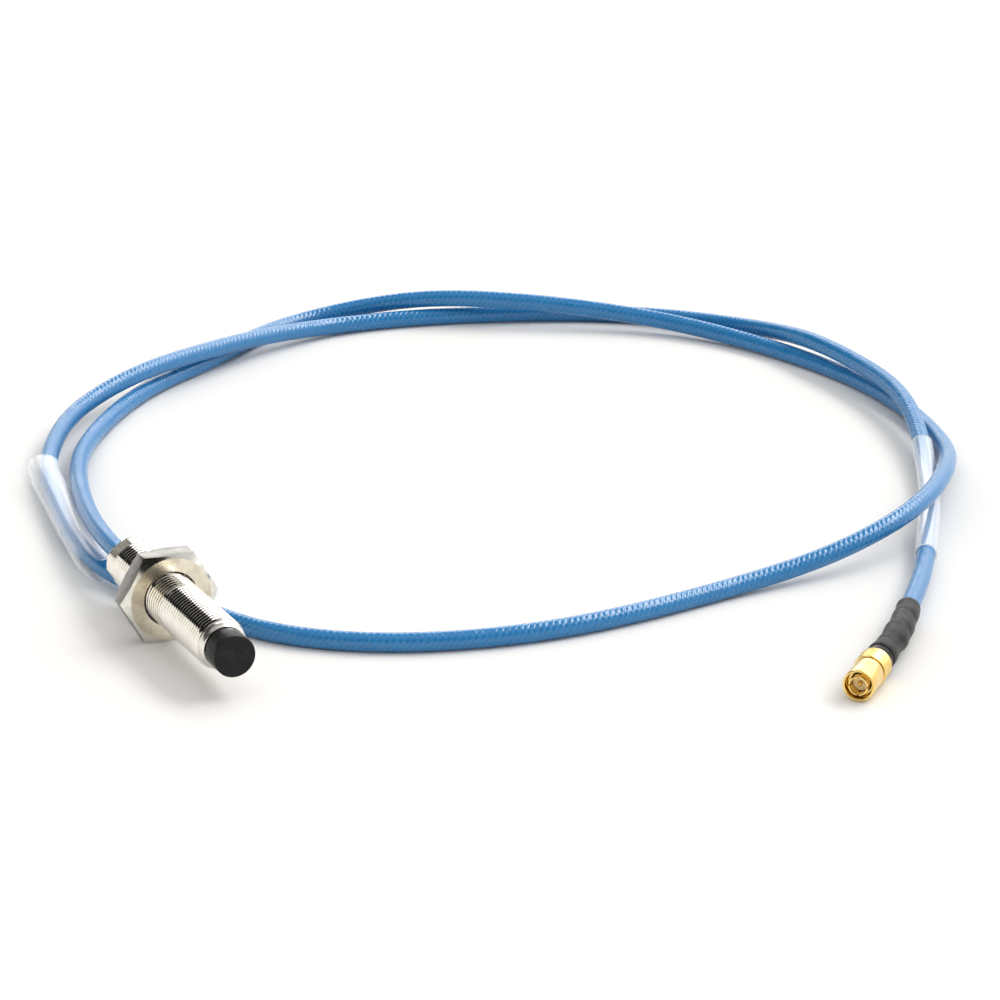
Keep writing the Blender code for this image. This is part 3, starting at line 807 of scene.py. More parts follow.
@dataclass
class Case:
    """The threaded tube.

    Args:
        rear: its rear face on the axis.
        front: its front face.
        screw: its thread.
        bore: radius of the bore.
        seat: radius of the tip's seat.
        seat_depth: depth of the seat.
        neck: length of the plain end in front of the thread.
        neck_radius: radius of the groove and of the ring at its rear.
        nose_radius: radius at its front face, to which the end curves down.
        flats: distance across the wrench flats.
        flats_length: their length.
        flats_turn: their turn about the axis.
        columns: points round.
    """

    rear: float = -27.0 * MM
    front: float = 22.0 * MM
    screw: Screw = Screw(4.95 * MM, 4.56 * MM)
    bore: float = 3.45 * MM
    seat: float = 3.95 * MM
    seat_depth: float = 6.0 * MM
    neck: float = 2.0 * MM
    neck_radius: tuple[float, float] = (4.38 * MM, 4.60 * MM)
    nose_radius: float = 4.12 * MM
    flats: float = 8.9 * MM
    flats_length: float = 3.8 * MM
    flats_turn: float = math.radians(34.0)
    columns: int = 120

    def angles(self) -> Array:
        """Angles round the case, with a column on both edges of each wrench flat."""
        half = math.acos(self.flats / 2 / self.screw.crest)
        middles = self.flats_turn + np.arange(4) * math.pi / 2
        edges = np.sort(np.concatenate([middles - half, middles + half]) % TURN)
        even = np.arange(self.columns) * TURN / self.columns
        apart = np.min(np.abs((even[:, None] - edges + math.pi) % TURN - math.pi), axis=1)
        inner = even[apart > 0.3 * TURN / self.columns]
        return np.concatenate([[0.0], np.sort(np.concatenate([inner[inner > 0.0], edges])), [TURN]])

    def flat_limit(self, angle: Array) -> Array:
        """Radius of the wrench flats: half their width over the cosine of the angle from the middle."""
        quarter = math.pi / 2
        off = (angle - self.flats_turn + quarter / 2) % quarter - quarter / 2
        return self.flats / 2 / np.cos(off)

    def points(self) -> Array:
        """The whole closed wall: thread, neck, seat, bore and rear face."""
        angle = self.angles()
        step, end = self.rear + self.flats_length, self.front - self.neck
        behind = self.screw.surface(self.rear, step, angle, (0.5 * MM, 0.0))
        behind[..., 2] = np.minimum(behind[..., 2], self.flat_limit(angle))
        ahead = self.screw.surface(step, end, angle, (0.0, 0.4 * MM))
        low, high = self.neck_radius
        curve = np.linspace(0.0, 0.42 * math.pi, 9)
        reach, fall = self.neck - 0.55 * MM, high - self.nose_radius
        nose = [(self.front - reach + reach * math.sin(t) / math.sin(curve[-1]),
                 high - fall * (1.0 - math.cos(t)) / (1.0 - math.cos(curve[-1]))) for t in curve]
        rings = [(end, low), (end + 0.22 * MM, low), (end + 0.34 * MM, high - 0.02 * MM), *nose,
                 (self.front, self.seat), (self.front - self.seat_depth, self.seat),
                 (self.front - self.seat_depth, self.bore), (self.rear, self.bore)]
        return wound(np.concatenate([behind, ahead, *(ring(x, r, angle) for x, r in rings)]), PROBE_AXIS)

    def build(self, finish: NickelPlate, milled: NickelPlate, nose: NickelPlate) -> bpy.types.Object:
        """Make the piece.

        Args:
            finish: its plate.
            milled: finish of the wrench flats.
            nose: finish of the plain front end.

        Returns:
            The piece.
        """
        piece = grid_object("case_threaded", self.points(), Edge.JOINED, Edge.OPEN, finish.material(),
                            Body.PROBE, sharp=22.0)
        middles, normals = faces_of(piece)
        x, y, z = middles[:, 0], middles[:, 1], middles[:, 2] - AXIS_HEIGHT
        radius = np.hypot(y, z)
        level = np.abs(radius - self.flat_limit(np.arctan2(z, y))) < 0.03 * MM
        on_flat = level & (np.abs(normals[:, 0]) < 0.1) & (x < self.rear + self.flats_length)
        on_nose = (x > self.front - self.neck + 0.5 * MM) & (radius > self.seat)
        refinish(piece, (milled, on_flat), (nose, on_nose))
        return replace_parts(piece, "threaded_case")


@dataclass
class Tip:
    """The black moulded cup.

    Args:
        front: its face.
        shoulder: its step on the case's front.
        rear: end of its spigot.
        radius: radius outside.
        spigot: radius of the spigot.
        inner: radius inside.
        wall: thickness of its face.
        edge: radius of the front edge.
        dish: depth of the shallow dish in its face.
    """

    front: float = 27.0 * MM
    shoulder: float = 22.3 * MM
    rear: float = 16.3 * MM
    radius: float = 4.0 * MM
    spigot: float = 3.65 * MM
    inner: float = 3.15 * MM
    wall: float = 0.9 * MM
    edge: float = 0.45 * MM
    dish: float = 0.05 * MM

    def build(self, finish: BlackPolymer) -> bpy.types.Object:
        """Make the piece.

        Args:
            finish: its moulding.

        Returns:
            The piece.
        """
        outline = rounded([
            (self.front - self.wall, 0.0, 0.0), (self.front - self.wall, self.inner, 0.2 * MM),
            (self.rear, self.inner, 0.0), (self.rear, self.spigot, 0.1 * MM),
            (self.shoulder, self.spigot, 0.0), (self.shoulder, self.radius, 0.12 * MM),
            (self.front, self.radius, self.edge), (self.front, 0.84 * self.radius, 0.05 * MM),
            (self.front - self.dish, 0.80 * self.radius, 0.05 * MM), (self.front - self.dish, 0.0, 0.0),
        ], 6)
        piece = grid_object("tip_moulding", turned(outline, 96, PROBE_AXIS), Edge.OPEN, Edge.JOINED,
                            finish.material(), Body.PROBE, sharp=50.0)
        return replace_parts(piece, "tip_cap")


@dataclass
class Nut:
    """The lock nut: a hexagon whose corners are turned to a cone on both faces.

    Args:
        rear: its rear face.
        front: its front face.
        width: distance across its flats.
        face: radius of the flat bearing ring.
        slope: chamfer's fall a unit of radius.
        corner: radius of the rounded corners.
        ease: size of the broken edges.
        bunch: how far the columns are drawn towards the corners, in radians.
        screw: its thread.
        sink: size of the countersink.
        columns: points round.
    """

    rear: float = -10.0 * MM
    front: float = -5.0 * MM
    width: float = 17.0 * MM
    face: float = 8.0 * MM
    slope: float = math.tan(math.radians(30.0))
    corner: float = 0.35 * MM
    ease: float = 0.09 * MM
    bunch: float = 0.085
    screw: Screw = Screw(5.08 * MM, 5.40 * MM, 0.3)
    sink: float = 0.42 * MM
    columns: int = 144

    def hexagon(self, angle: Array) -> Array:
        """Radius of the rounded hexagon.

        The flat's radius is half the width over the cosine of the angle from its middle. The corner
        is a circle of the corner radius that touches both flats, and the smaller radius counts.

        Args:
            angle: angle about the axis.

        Returns:
            The radius.
        """
        half, sector = self.width / 2, math.pi / 3
        from_flat = (angle + sector / 2 + math.pi / 2) % sector - sector / 2
        flat = half / np.cos(from_flat)
        from_corner = sector / 2 - np.abs(from_flat)
        centre = (half - self.corner) / math.cos(sector / 2)
        off = centre * np.sin(from_corner)
        corner = centre * np.cos(from_corner) + np.sqrt(np.maximum(self.corner ** 2 - off ** 2, 0.0))
        near = np.abs(off) < self.corner * math.sin(sector / 2)
        return np.where(near, np.minimum(flat, corner), flat)

    def points(self) -> Array:
        """The closed wall: rear face, chamfer, flats, chamfer, front face and threaded bore."""
        even = np.linspace(0.0, TURN, self.columns + 1)
        angle = even - self.bunch * np.sin(6.0 * even)
        reach, ease = self.hexagon(angle), self.ease
        drop = (reach - self.face) * self.slope
        half = [(0.0, self.face - ease), (0.0, self.face), (ease * self.slope, self.face + ease),
                (drop - ease * 0.4, reach - ease), (drop, reach - 0.3 * ease), (drop + ease, reach)]
        outside = [ring(self.rear + x, r, angle) for x, r in half]
        outside += [ring(self.front - x, r, angle) for x, r in half[::-1]]
        thread = self.screw.surface(self.rear, self.front, angle, (self.sink, self.sink), False)
        return wound(np.concatenate([*outside, thread[::-1]]), PROBE_AXIS)

    def build(self, face: TurnedFace, flats: NickelPlate, chamfer: NickelPlate) -> bpy.types.Object:
        """Make the piece, with its turned faces, its flats and its chamfers each in their finish.

        Args:
            face: finish of the two bearing faces.
            flats: finish of the flats.
            chamfer: finish of the chamfers and the thread.

        Returns:
            The piece.
        """
        piece = grid_object("lock_nut_hex", self.points(), Edge.JOINED, Edge.OPEN, flats.material(),
                            Body.NUT, sharp=24.0)
        middles, normals = faces_of(piece)
        radius = np.hypot(middles[:, 1], middles[:, 2] - AXIS_HEIGHT)
        lean = np.abs(normals[:, 0])
        bearing = (lean > 0.97) & (radius < self.face + 0.05 * MM)
        refinish(piece, (face, bearing), (chamfer, ~bearing & ((lean > 0.2) | (radius < self.face))))
        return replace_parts(piece, "lock_nut")


# The lead


@dataclass
class Route:
    """The lead's centre line, through the same points as the solid's.

    Args:
        points: the route in millimetres, from the jacket's end inside the case.
        plug: the plug's place on the surface.
        heading: the plug's direction.
        plug_height: height of the plug's axis.
        jacket_end: distance behind the collar at which the jacket ends.
        boot_straight: length of the straight stretch behind that.
        radius: radius of the lead.
        samples: points read along it.
    """

    points: tuple[tuple[float, float, float], ...] = (
        (-17.0, 0.0, 8.5), (-37.0, 0.0, 8.5),
        (-56.5, 3.0, 7.2), (-76.0, 8.0, 5.5), (-95.0, 14.5, 3.9), (-113.0, 23.5, 2.3),
        (-129.0, 35.5, 1.9), (-142.5, 50.0, 1.9), (-153.5, 67.0, 1.9), (-165.0, 83.5, 2.0),
        (-170.6, 101.3, 2.6), (-164.1, 120.1, 5.45), (-153.6, 137.1, 6.15), (-143.2, 154.1, 4.8),
        (-130.5, 169.5, 3.0), (-114.0, 179.5, 2.2), (-95.5, 186.0, 1.9), (-75.5, 189.0, 1.9),
        (-55.5, 188.0, 2.0), (-35.5, 183.5, 2.4), (-18.0, 174.5, 5.3), (-2.0, 163.0, 7.8),
        (11.0, 148.0, 7.7), (16.5, 129.0, 4.5), (18.5, 109.0, 2.2), (22.0, 89.0, 1.9),
        (24.0, 69.5, 1.9), (22.0, 49.5, 1.9), (15.0, 31.0, 1.9), (1.5, 16.0, 1.9),
        (-16.0, 8.0, 1.9), (-35.0, 0.5, 2.6), (-55.0, -0.5, 2.75), (-75.0, 3.0, 2.65),
        (-94.0, 7.5, 2.9), (-112.5, 15.5, 3.3), (-128.5, 27.5, 4.2), (-139.0, 44.5, 6.1),
        (-148.0, 62.0, 5.7), (-157.0, 80.0, 4.1), (-163.0, 99.0, 2.3), (-162.0, 118.5, 1.9),
        (-156.5, 138.0, 1.9), (-148.5, 156.5, 1.9), (-136.5, 172.5, 2.1), (-119.0, 183.0, 3.5),
        (-99.5, 186.5, 5.9), (-79.5, 188.0, 6.2), (-60.0, 186.5, 6.0), (-41.1, 180.7, 4.6),
        (-22.8, 172.4, 2.9), (-5.2, 163.0, 2.7), (11.7, 152.8, 2.7), (28.7, 141.9, 2.7),
        (45.2, 129.4, 3.0),
    )
    plug: tuple[float, float] = (67.2 * MM, 109.8 * MM)
    heading: float = math.radians(-45.0)
    plug_height: float = 3.2 * MM
    jacket_end: float = 6.3 * MM
    boot_straight: float = 7.0 * MM
    radius: float = 1.85 * MM
    samples: int = 1900

    def plug_matrix(self) -> Matrix:
        """The plug's frame: X along its axis to the mouth, origin at the collar's rear face."""
        return Matrix.Translation((*self.plug, self.plug_height)) @ Matrix.Rotation(self.heading, 4, "Z")

    def line(self) -> Array:
        """Evenly spaced points on the natural cubic spline through the route.

        The second derivatives m of the spline solve h0 m0 + 2 (h0 + h1) m1 + h1 m2 = 6 (slope1 -
        slope0) at each inner point and are zero at the ends, where h is the distance between points.

        Returns:
            Points along the lead, in metres.
        """
        back = np.array([[-self.jacket_end - self.boot_straight, 0.0, 0.0], [-self.jacket_end, 0.0, 0.0]])
        places = np.concatenate([np.array(self.points) * MM, moved(back, self.plug_matrix())])
        gaps = np.linalg.norm(np.diff(places, axis=0), axis=1)
        knots = np.concatenate([[0.0], np.cumsum(gaps)])
        slopes = np.diff(places, axis=0) / gaps[:, None]
        count = len(places)
        system, rates = np.eye(count), np.zeros_like(places)
        inner = np.arange(1, count - 1)
        system[inner, inner - 1] = gaps[:-1]
        system[inner, inner] = 2.0 * (gaps[:-1] + gaps[1:])
        system[inner, inner + 1] = gaps[1:]
        rates[1:-1] = 6.0 * np.diff(slopes, axis=0)
        second = np.linalg.solve(system, rates)
        read = np.linspace(0.0, knots[-1], 12 * self.samples)
        piece = np.clip(np.searchsorted(knots, read, side="right") - 1, 0, count - 2)
        h, t = gaps[piece][:, None], (read - knots[piece])[:, None]
        m0, m1 = second[piece], second[piece + 1]
        fine = (places[piece] + slopes[piece] * t - (2 * m0 + m1) * h * t / 6
                + m0 * t ** 2 / 2 + (m1 - m0) * t ** 3 / (6 * h))
        fine[:, 2] = np.maximum(fine[:, 2], self.radius)
        return sampled(fine, np.linspace(0.0, distance_along(fine)[-1], self.samples))


def distance_along(line: Array) -> Array:
    """Distance from the start of a line to each of its points."""
    return np.concatenate([[0.0], np.cumsum(np.linalg.norm(np.diff(line, axis=0), axis=1))])


def sampled(line: Array, places: Array) -> Array:
    """Points of a line at the given distances along it."""
    run = distance_along(line)
    return np.stack([np.interp(places, run, line[:, axis]) for axis in range(3)], axis=1)


def vectors_along(line: Array) -> tuple[Array, Array]:
    """Unit tangents of a line, from the neighbours of each point, and the level vectors across them."""
    forward = np.gradient(line, axis=0)
    forward /= np.linalg.norm(forward, axis=1)[:, None]
    side = np.cross((0.0, 0.0, 1.0), forward)
    return forward, side / np.linalg.norm(side, axis=1)[:, None]


def tube_points(line: Array, radius: Array, sides: int) -> Array:
    """A tube of varying radius along a line.

    At each point f is the tangent, s the level vector across it and u the one above, and the wall
    is at centre + r (cos t s + sin t u).

    Args:
        line: the centre line.
        radius: radius at each point, or at each point and angle.
        sides: points round.

    Returns:
        Rows along the line and columns round it.
    """
    forward, side = vectors_along(line)
    over = np.cross(forward, side)
    angle = (np.arange(sides) * TURN / sides)[None, :, None]
    size = radius if radius.ndim == 2 else radius[:, None]
    return line[:, None] + size[..., None] * (np.cos(angle) * side[:, None] + np.sin(angle) * over[:, None])


@dataclass
class Lead:
    """The blue cable.

    Args:
        line: its centre line.
        diameter: its thickness.
        sides: points round.
        exit: where it leaves the case; not used.
    """

    line: Array
    diameter: float = 3.7 * MM
    sides: int = 28
    exit: tuple[float, float, float] = (-27.0 * MM, 0.0, AXIS_HEIGHT)

    @property
    def length(self) -> float:
        """Length of the jacket."""
        return float(distance_along(self.line)[-1])

    def build(self, finish: BraidedJacket) -> bpy.types.Object:
        """Make the piece, with both ends closed.

        Args:
            finish: its jacket.

        Returns:
            The piece.
        """
        run = distance_along(self.line)
        wall = tube_points(self.line, np.full(len(run), self.diameter / 2), self.sides)
        ends = [np.broadcast_to(self.line[k], (1, self.sides, 3)) for k in (0, -1)]
        piece = grid_object("lead_jacket", np.concatenate([ends[0], wall, ends[1]]), Edge.OPEN,
                            Edge.JOINED, finish.material(), Body.PROBE,
                            along=np.concatenate([run[:1], run, run[-1:]]),
                            girth=self.diameter * math.pi, sharp=60.0)
        LOG.info("lead: %.1f mm", self.length / MM)
        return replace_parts(piece, "lead")


@dataclass
class Sleeve:
    """A loose clear tube on a stretch of the lead.

    Args:
        name: the piece's name.
        node: the solid that it stands for.
        start: distance along the lead at which it starts.
        length: its length.
        diameter: diameter outside.
        wall: thickness.
        lift: height of its own centre above the lead's.
        play: how far its middle may lie from the lead's, because it is stiffer and bends less.
        press: share by which it is pressed wider and lower.
        sides: points round.
    """

    name: str
    node: str
    start: float
    length: float = 62.0 * MM
    diameter: float = 5.8 * MM
    wall: float = 0.35 * MM
    lift: float = 0.3 * MM
    play: float = 0.0
    press: float = 0.0
    sides: int = 48

    def build(self, line: Array, finish: ClearTube, rims: ClearTube) -> bpy.types.Object:
        """Make the piece, with its two cut ends in their own finish.

        Its middle tends to the straight line through the lead's stretch, and its way off the lead's
        middle is play tanh(way / play). The section is an ellipse, whose radius at an angle is one
        over the root of the sum of (cosine / half width) squared and (sine / half height) squared.

        Args:
            line: the lead's centre line.
            finish: what its skins are made of.
            rims: finish of the cut ends, through which light leaves the wall.

        Returns:
            The piece.
        """
        centres = sampled(line, np.linspace(self.start, self.start + self.length, 90))
        forward, side = vectors_along(centres)
        t = np.linspace(-1.0, 1.0, len(centres))
        slope, middle = np.polyfit(t, centres, 1)
        way = np.sum((t[:, None] * slope + middle - centres) * side, axis=1)
        centres = centres + side * (self.play * np.tanh(way / max(self.play, MICRON)))[:, None]
        centres[:, 2] += self.lift
        angle = np.arange(self.sides) * TURN / self.sides
        half = self.diameter / 2
        oval = 1.0 / np.hypot(np.cos(angle) / (half * (1.0 + self.press)),
                              np.sin(angle) / (half * (1.0 - self.press)))
        outer = np.repeat(oval[None, :], len(centres), axis=0)
        skin = tube_points(centres, outer, self.sides)
        bore = tube_points(centres, outer - self.wall, self.sides)[::-1]
        piece = grid_object(self.name, np.concatenate([skin, bore]), Edge.JOINED, Edge.JOINED,
                            finish.material(), Body.PROBE)
        middles, _ = faces_of(piece)
        cut = [(np.abs((middles - centres[k]) @ forward[k]) < 0.01 * MM)
               & (np.linalg.norm(middles - centres[k], axis=1) < self.diameter) for k in (0, -1)]
        refinish(piece, (rims, cut[0] | cut[1]))
        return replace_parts(piece, self.node)


@dataclass
class Boot:
    """The shrunk black boot behind the plug.

    Args:
        length: its length.
        bore: radius of the bore on the lead.
        front_bore: radius of the bore over the crimp.
        front_bore_length: length of that bore.
        outline: shares of the length from the collar, and the diameter there in millimetres.
        folds: share of the length, depth in millimetres, angle and width of each fold.
        swell: depth of the slow wave.
        lip: share of the length that the glossy lip at the front takes.
        sides: points round.
    """

    length: float = 29.0 * MM
    bore: float = 1.95 * MM
    front_bore: float = 2.4 * MM
    front_bore_length: float = 7.0 * MM
    outline: tuple[tuple[float, float], ...] = (
        (0.00, 5.00), (0.010, 5.36), (0.030, 5.46), (0.076, 5.40), (0.082, 4.95), (0.090, 4.92),
        (0.097, 5.44), (0.115, 5.62), (0.15, 5.62), (0.19, 5.46), (0.24, 5.10), (0.30, 4.88), (0.36, 5.02),
        (0.45, 5.28), (0.54, 5.22), (0.62, 4.98), (0.70, 4.95), (0.80, 4.86), (0.88, 4.70), (0.95, 4.68),
        (0.985, 4.76), (1.00, 4.72),
    )
    folds: tuple[tuple[float, float, float, float], ...] = (
        (0.21, 0.10, 0.4, 0.018), (0.38, 0.11, 2.6, 0.034), (0.56, 0.11, 1.2, 0.026),
        (0.74, 0.12, 0.2, 0.028),
    )
    swell: float = 0.09 * MM
    lip: float = 0.086
    sides: int = 64

    def radius(self, share: Array, angle: Array) -> Array:
        """Radius outside.

        The outline gives the mean. Each fold takes depth exp(-((share - centre) / width)^2) off it,
        where the centre leans with the sine of the angle, and a slow screw-shaped wave, the sine of
        2 pi 4.1 share - angle, makes it uneven.

        Args:
            share: share of the length.
            angle: angle round it.

        Returns:
            Radius at each share and angle.
        """
        shares, widths = np.array(self.outline).T
        share, angle = share[:, None], angle[None, :]
        size = np.interp(share, shares, widths) * MM / 2
        for place, depth, lean, width in self.folds:
            centre = place + 0.05 * np.sin(angle + lean)
            size = size - depth * MM * np.exp(-(((share - centre) / width) ** 2))
        wave = self.swell * np.sin(TURN * 4.1 * share - angle + 0.6)
        return size + wave * np.clip(share / 0.12, 0.0, 1.0)

    def build(self, line: Array, plug: Matrix, finish: BlackPolymer, lip: BlackPolymer) -> bpy.types.Object:
        """Make the piece.

        Args:
            line: the lead's centre line.
            plug: the plug's frame.
            finish: its rubber.
            lip: finish of the lip behind the collar.

        Returns:
            The piece.
        """
        front = moved(np.array([[-0.3 * MM, 0.0, 0.0]]), plug)
        share = np.unique(np.concatenate([np.linspace(0.0, 1.0, 150), [s for s, _ in self.outline]]))
        centres = sampled(np.concatenate([front, line[::-1]]), share * self.length)
        angle = np.arange(self.sides) * TURN / self.sides
        skin = tube_points(centres, self.radius(share, angle), self.sides)
        inner = np.where(share * self.length <= self.front_bore_length, self.front_bore, self.bore)
        bore = tube_points(centres, inner, self.sides)[::-1]
        piece = grid_object("boot_shrunk", np.concatenate([skin, bore]), Edge.JOINED, Edge.JOINED,
                            finish.material(), Body.PROBE, sharp=48.0)
        behind = -(faces_of(piece)[0] - front[0]) @ np.asarray(plug)[:3, 0]
        refinish(piece, (lip, behind < self.lip * self.length))
        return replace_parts(piece, "plug_boot")


# The plug


@dataclass
class Plug:
    """The miniature coaxial plug, on its own axis from the collar's rear face forward.

    Args:
        place: its frame.
        collar: radius of the collar.
        collar_length: length of the collar.
        knurl_teeth: ridges of the knurl round the collar.
        knurl_depth: depth of the knurl.
        groove: radius of the groove.
        groove_width: width of the groove.
        barrel: radius of the barrel.
        wall: thickness of the barrel's wall.
        length: rim's distance from the collar's rear face.
        neck: radius of the body's neck, which the collar and the barrel sit on.
        collet: radius of the collet.
        collet_wall: thickness of its fingers.
        collet_front: place of its front edge.
        slot: width of its slots.
        slot_depth: their depth.
        pin: radius of the contact.
        pin_front: place of its nose.
    """

    place: Matrix
    collar: float = 3.2 * MM
    collar_length: float = 4.4 * MM
    knurl_teeth: int = 60
    knurl_depth: float = 0.09 * MM
    groove: float = 2.75 * MM
    groove_width: float = 0.5 * MM
    barrel: float = 3.02 * MM
    wall: float = 0.5 * MM
    length: float = 11.5 * MM
    neck: float = 1.9 * MM
    collet: float = 1.85 * MM
    collet_wall: float = 0.35 * MM
    collet_front: float = 11.7 * MM
    slot: float = 0.35 * MM
    slot_depth: float = 4.6 * MM
    pin: float = 0.4 * MM
    pin_front: float = 10.7 * MM

    def collar_points(self) -> Array:
        """The collar with a diamond knurl between two plain rims.

        The knurl's radius is R - d (|sin a| + |sin b|) / 2, where a and b turn opposite ways round
        the collar as the place along it grows, and d fades to nothing at the rims.

        Returns:
            Rows along the closed outline and columns round it.
        """
        sides, rim, end = self.knurl_teeth * 6, 0.35 * MM, self.collar_length
        angle = np.arange(sides) * TURN / sides
        x = np.linspace(rim, end - rim, 60)[:, None]
        lead = x * self.knurl_teeth / (2.0 * self.collar)
        a, b = (angle * self.knurl_teeth / 2.0 + sign * lead for sign in (1.0, -1.0))
        fade = np.clip(np.minimum(x - rim, end - rim - x) / (0.15 * MM), 0.0, 1.0)
        depth = self.knurl_depth * fade * (np.abs(np.sin(a)) + np.abs(np.sin(b))) / 2.0
        knurl = ring(x, self.collar - depth, angle)[0]
        spigot, web = 2.9 * MM, 1.2 * MM
        rear = [(0.0, self.neck), (0.0, self.collar - 0.22 * MM), (0.08 * MM, self.collar - 0.08 * MM),
                (0.22 * MM, self.collar), (rim, self.collar)]
        front = [(end - rim, self.collar), (end - 0.16 * MM, self.collar),
                 (end - 0.05 * MM, self.collar - 0.05 * MM), (end, self.collar - 0.16 * MM),
                 (end, spigot), (web, spigot), (web, self.neck)]
        before, after = (np.concatenate([ring(*point, angle) for point in part]) for part in (rear, front))
        return wound(np.concatenate([before, knurl, after]), self.place)

    def barrel_points(self) -> Array:
        """The barrel with its groove, spigot, rounded rim and smooth mouth."""
        start, web = self.collar_length + self.groove_width, 1.5 * MM
        spigot, bore, floor, step = 2.6 * MM, 2.05 * MM, 2.7 * MM, 9.6 * MM
        mouth = self.barrel - self.wall
        return turned(rounded([
            (web, spigot, 0.0), (self.collar_length + 0.1 * MM, spigot, 0.0),
            (self.collar_length + 0.1 * MM, self.groove, 0.0), (start, self.groove, 0.06 * MM),
            (start, self.barrel, 0.14 * MM), (self.length, self.barrel, 0.20 * MM),
            (self.length, mouth, 0.26 * MM), (step, mouth, 0.2 * MM), (step, bore, 0.0),
            (floor, bore, 0.1 * MM), (floor, self.neck, 0.0), (web, self.neck, 0.0)], 5), 96, self.place)

    def collet_points(self) -> Array:
        """The collet with its bead and a rounded lip."""
        rear, front = 4.6 * MM, self.collet_front
        inner, bead = self.collet - self.collet_wall, self.collet + 0.1 * MM
        return turned(rounded([
            (rear, self.collet, 0.0), (front - 0.55 * MM, self.collet, 0.1 * MM),
            (front - 0.32 * MM, bead, 0.08 * MM), (front - 0.16 * MM, bead, 0.08 * MM),
            (front, self.collet - 0.04 * MM, 0.08 * MM), (front, inner + 0.06 * MM, 0.08 * MM),
            (front - 0.3 * MM, inner, 0.1 * MM), (rear, inner, 0.0)], 4), 96, self.place)

    def pin_points(self) -> Array:
        """The contact with a rounded nose."""
        rear = 2.3 * MM
        nose = [(self.pin_front - self.pin * (1.0 - math.sin(t)), self.pin * math.cos(t))
                for t in np.linspace(0.0, math.pi / 2, 9)]
        return turned([(rear, 0.0), (rear, self.pin), *nose], 48, self.place)

    def insulator_points(self) -> Array:
        """The stepped insulator round the contact."""
        rear, step, front = 3.53 * MM, 7.0 * MM, 9.9 * MM
        return turned(rounded([
            (rear, 0.7 * MM, 0.0), (rear, 1.2 * MM, 0.0), (step, 1.2 * MM, 0.0), (step, 1.46 * MM, 0.0),
            (front, 1.46 * MM, 0.1 * MM), (front, 0.44 * MM, 0.1 * MM), (step, 0.44 * MM, 0.0),
            (step, 0.7 * MM, 0.0)]), 48, self.place)

    def cut_slots(self, collet: bpy.types.Object) -> None:
        """Cut the two slots that part the collet into four fingers."""
        size = Vector((2 * self.slot_depth, 4 * self.collet, self.slot))
        for quarter in range(2):
            turn = Matrix.Rotation(quarter * math.pi / 2, 4, "X")
            cut_box(collet, size, self.place @ turn @ Matrix.Translation((self.collet_front, 0.0, 0.0)))
        collet.data.set_sharp_from_angle(angle=math.radians(40.0))

    def build(self, gold: GoldPlate, ptfe: InnerFinish) -> list[bpy.types.Object]:
        """Make the plug's visible pieces.

        Args:
            gold: the plate.
            ptfe: the insulator's finish, tinted orange-gold as a painted glow of the light that the gold
                round it reflects.

        Returns:
            The pieces.
        """
        plate = gold.material()
        pieces = []
        for name, node, points, rows, sharp in (
                ("collar_knurled", "knurled_collar", self.collar_points(), Edge.JOINED, 40.0),
                ("barrel_smooth", "outer_barrel", self.barrel_points(), Edge.JOINED, 40.0),
                ("collet_fingers", "collet", self.collet_points(), Edge.JOINED, 40.0),
                ("contact_pin", "centre_pin", self.pin_points(), Edge.OPEN, 50.0)):
            piece = grid_object(name, points, rows, Edge.JOINED, plate, Body.PROBE,
                                sharp=sharp)
            if node == "collet":
                self.cut_slots(piece)
            pieces.append(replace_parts(piece, node))
        insulator = grid_object("insulator_ptfe", self.insulator_points(), Edge.JOINED, Edge.JOINED,
                                ptfe.material(), Body.PROBE)
        return [*pieces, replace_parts(insulator, "insulator")]


@dataclass
class Inside:
    """The solids that nothing but a cut shows, with their finishes.

    Args:
        finishes: a finish for each solid.
    """

    finishes: dict[str, Finish]

    def build(self) -> None:
        """Give each solid its finish."""
        made: dict[str, bpy.types.Material] = {}
        for name, finish in self.finishes.items():
            if finish.name not in made:
                made[finish.name] = finish.material()
            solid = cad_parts[name]
            solid.data.materials.clear()
            solid.data.materials.append(made[finish.name])
            LOG.info("%s: finish %s", name, finish.name)


# The studio


@dataclass
class Camera:
    """The picture's camera.

    Args:
        place: where it stands.
        sight: the direction that it looks in.
        lens: focal length in millimetres.
        film: width of the film in millimetres.
    """

    place: tuple[float, float, float] = (0.7460, -0.2825, 0.3193)
    sight: tuple[float, float, float] = (-0.8517, 0.3971, -0.3420)
    lens: float = 165.6
    film: float = 36.0

    def build(self) -> None:
        """Make the camera and set it as the scene's."""
        data = bpy.data.cameras.new("camera")
        data.lens, data.sensor_width, data.sensor_fit = self.lens, self.film, "HORIZONTAL"
        data.clip_start, data.clip_end = 0.02, 40.0
        camera = linked("camera", data)
        camera.location = self.place
        camera.rotation_euler = Vector(self.sight).to_track_quat("-Z", "Y").to_euler()
        bpy.context.scene.camera = camera


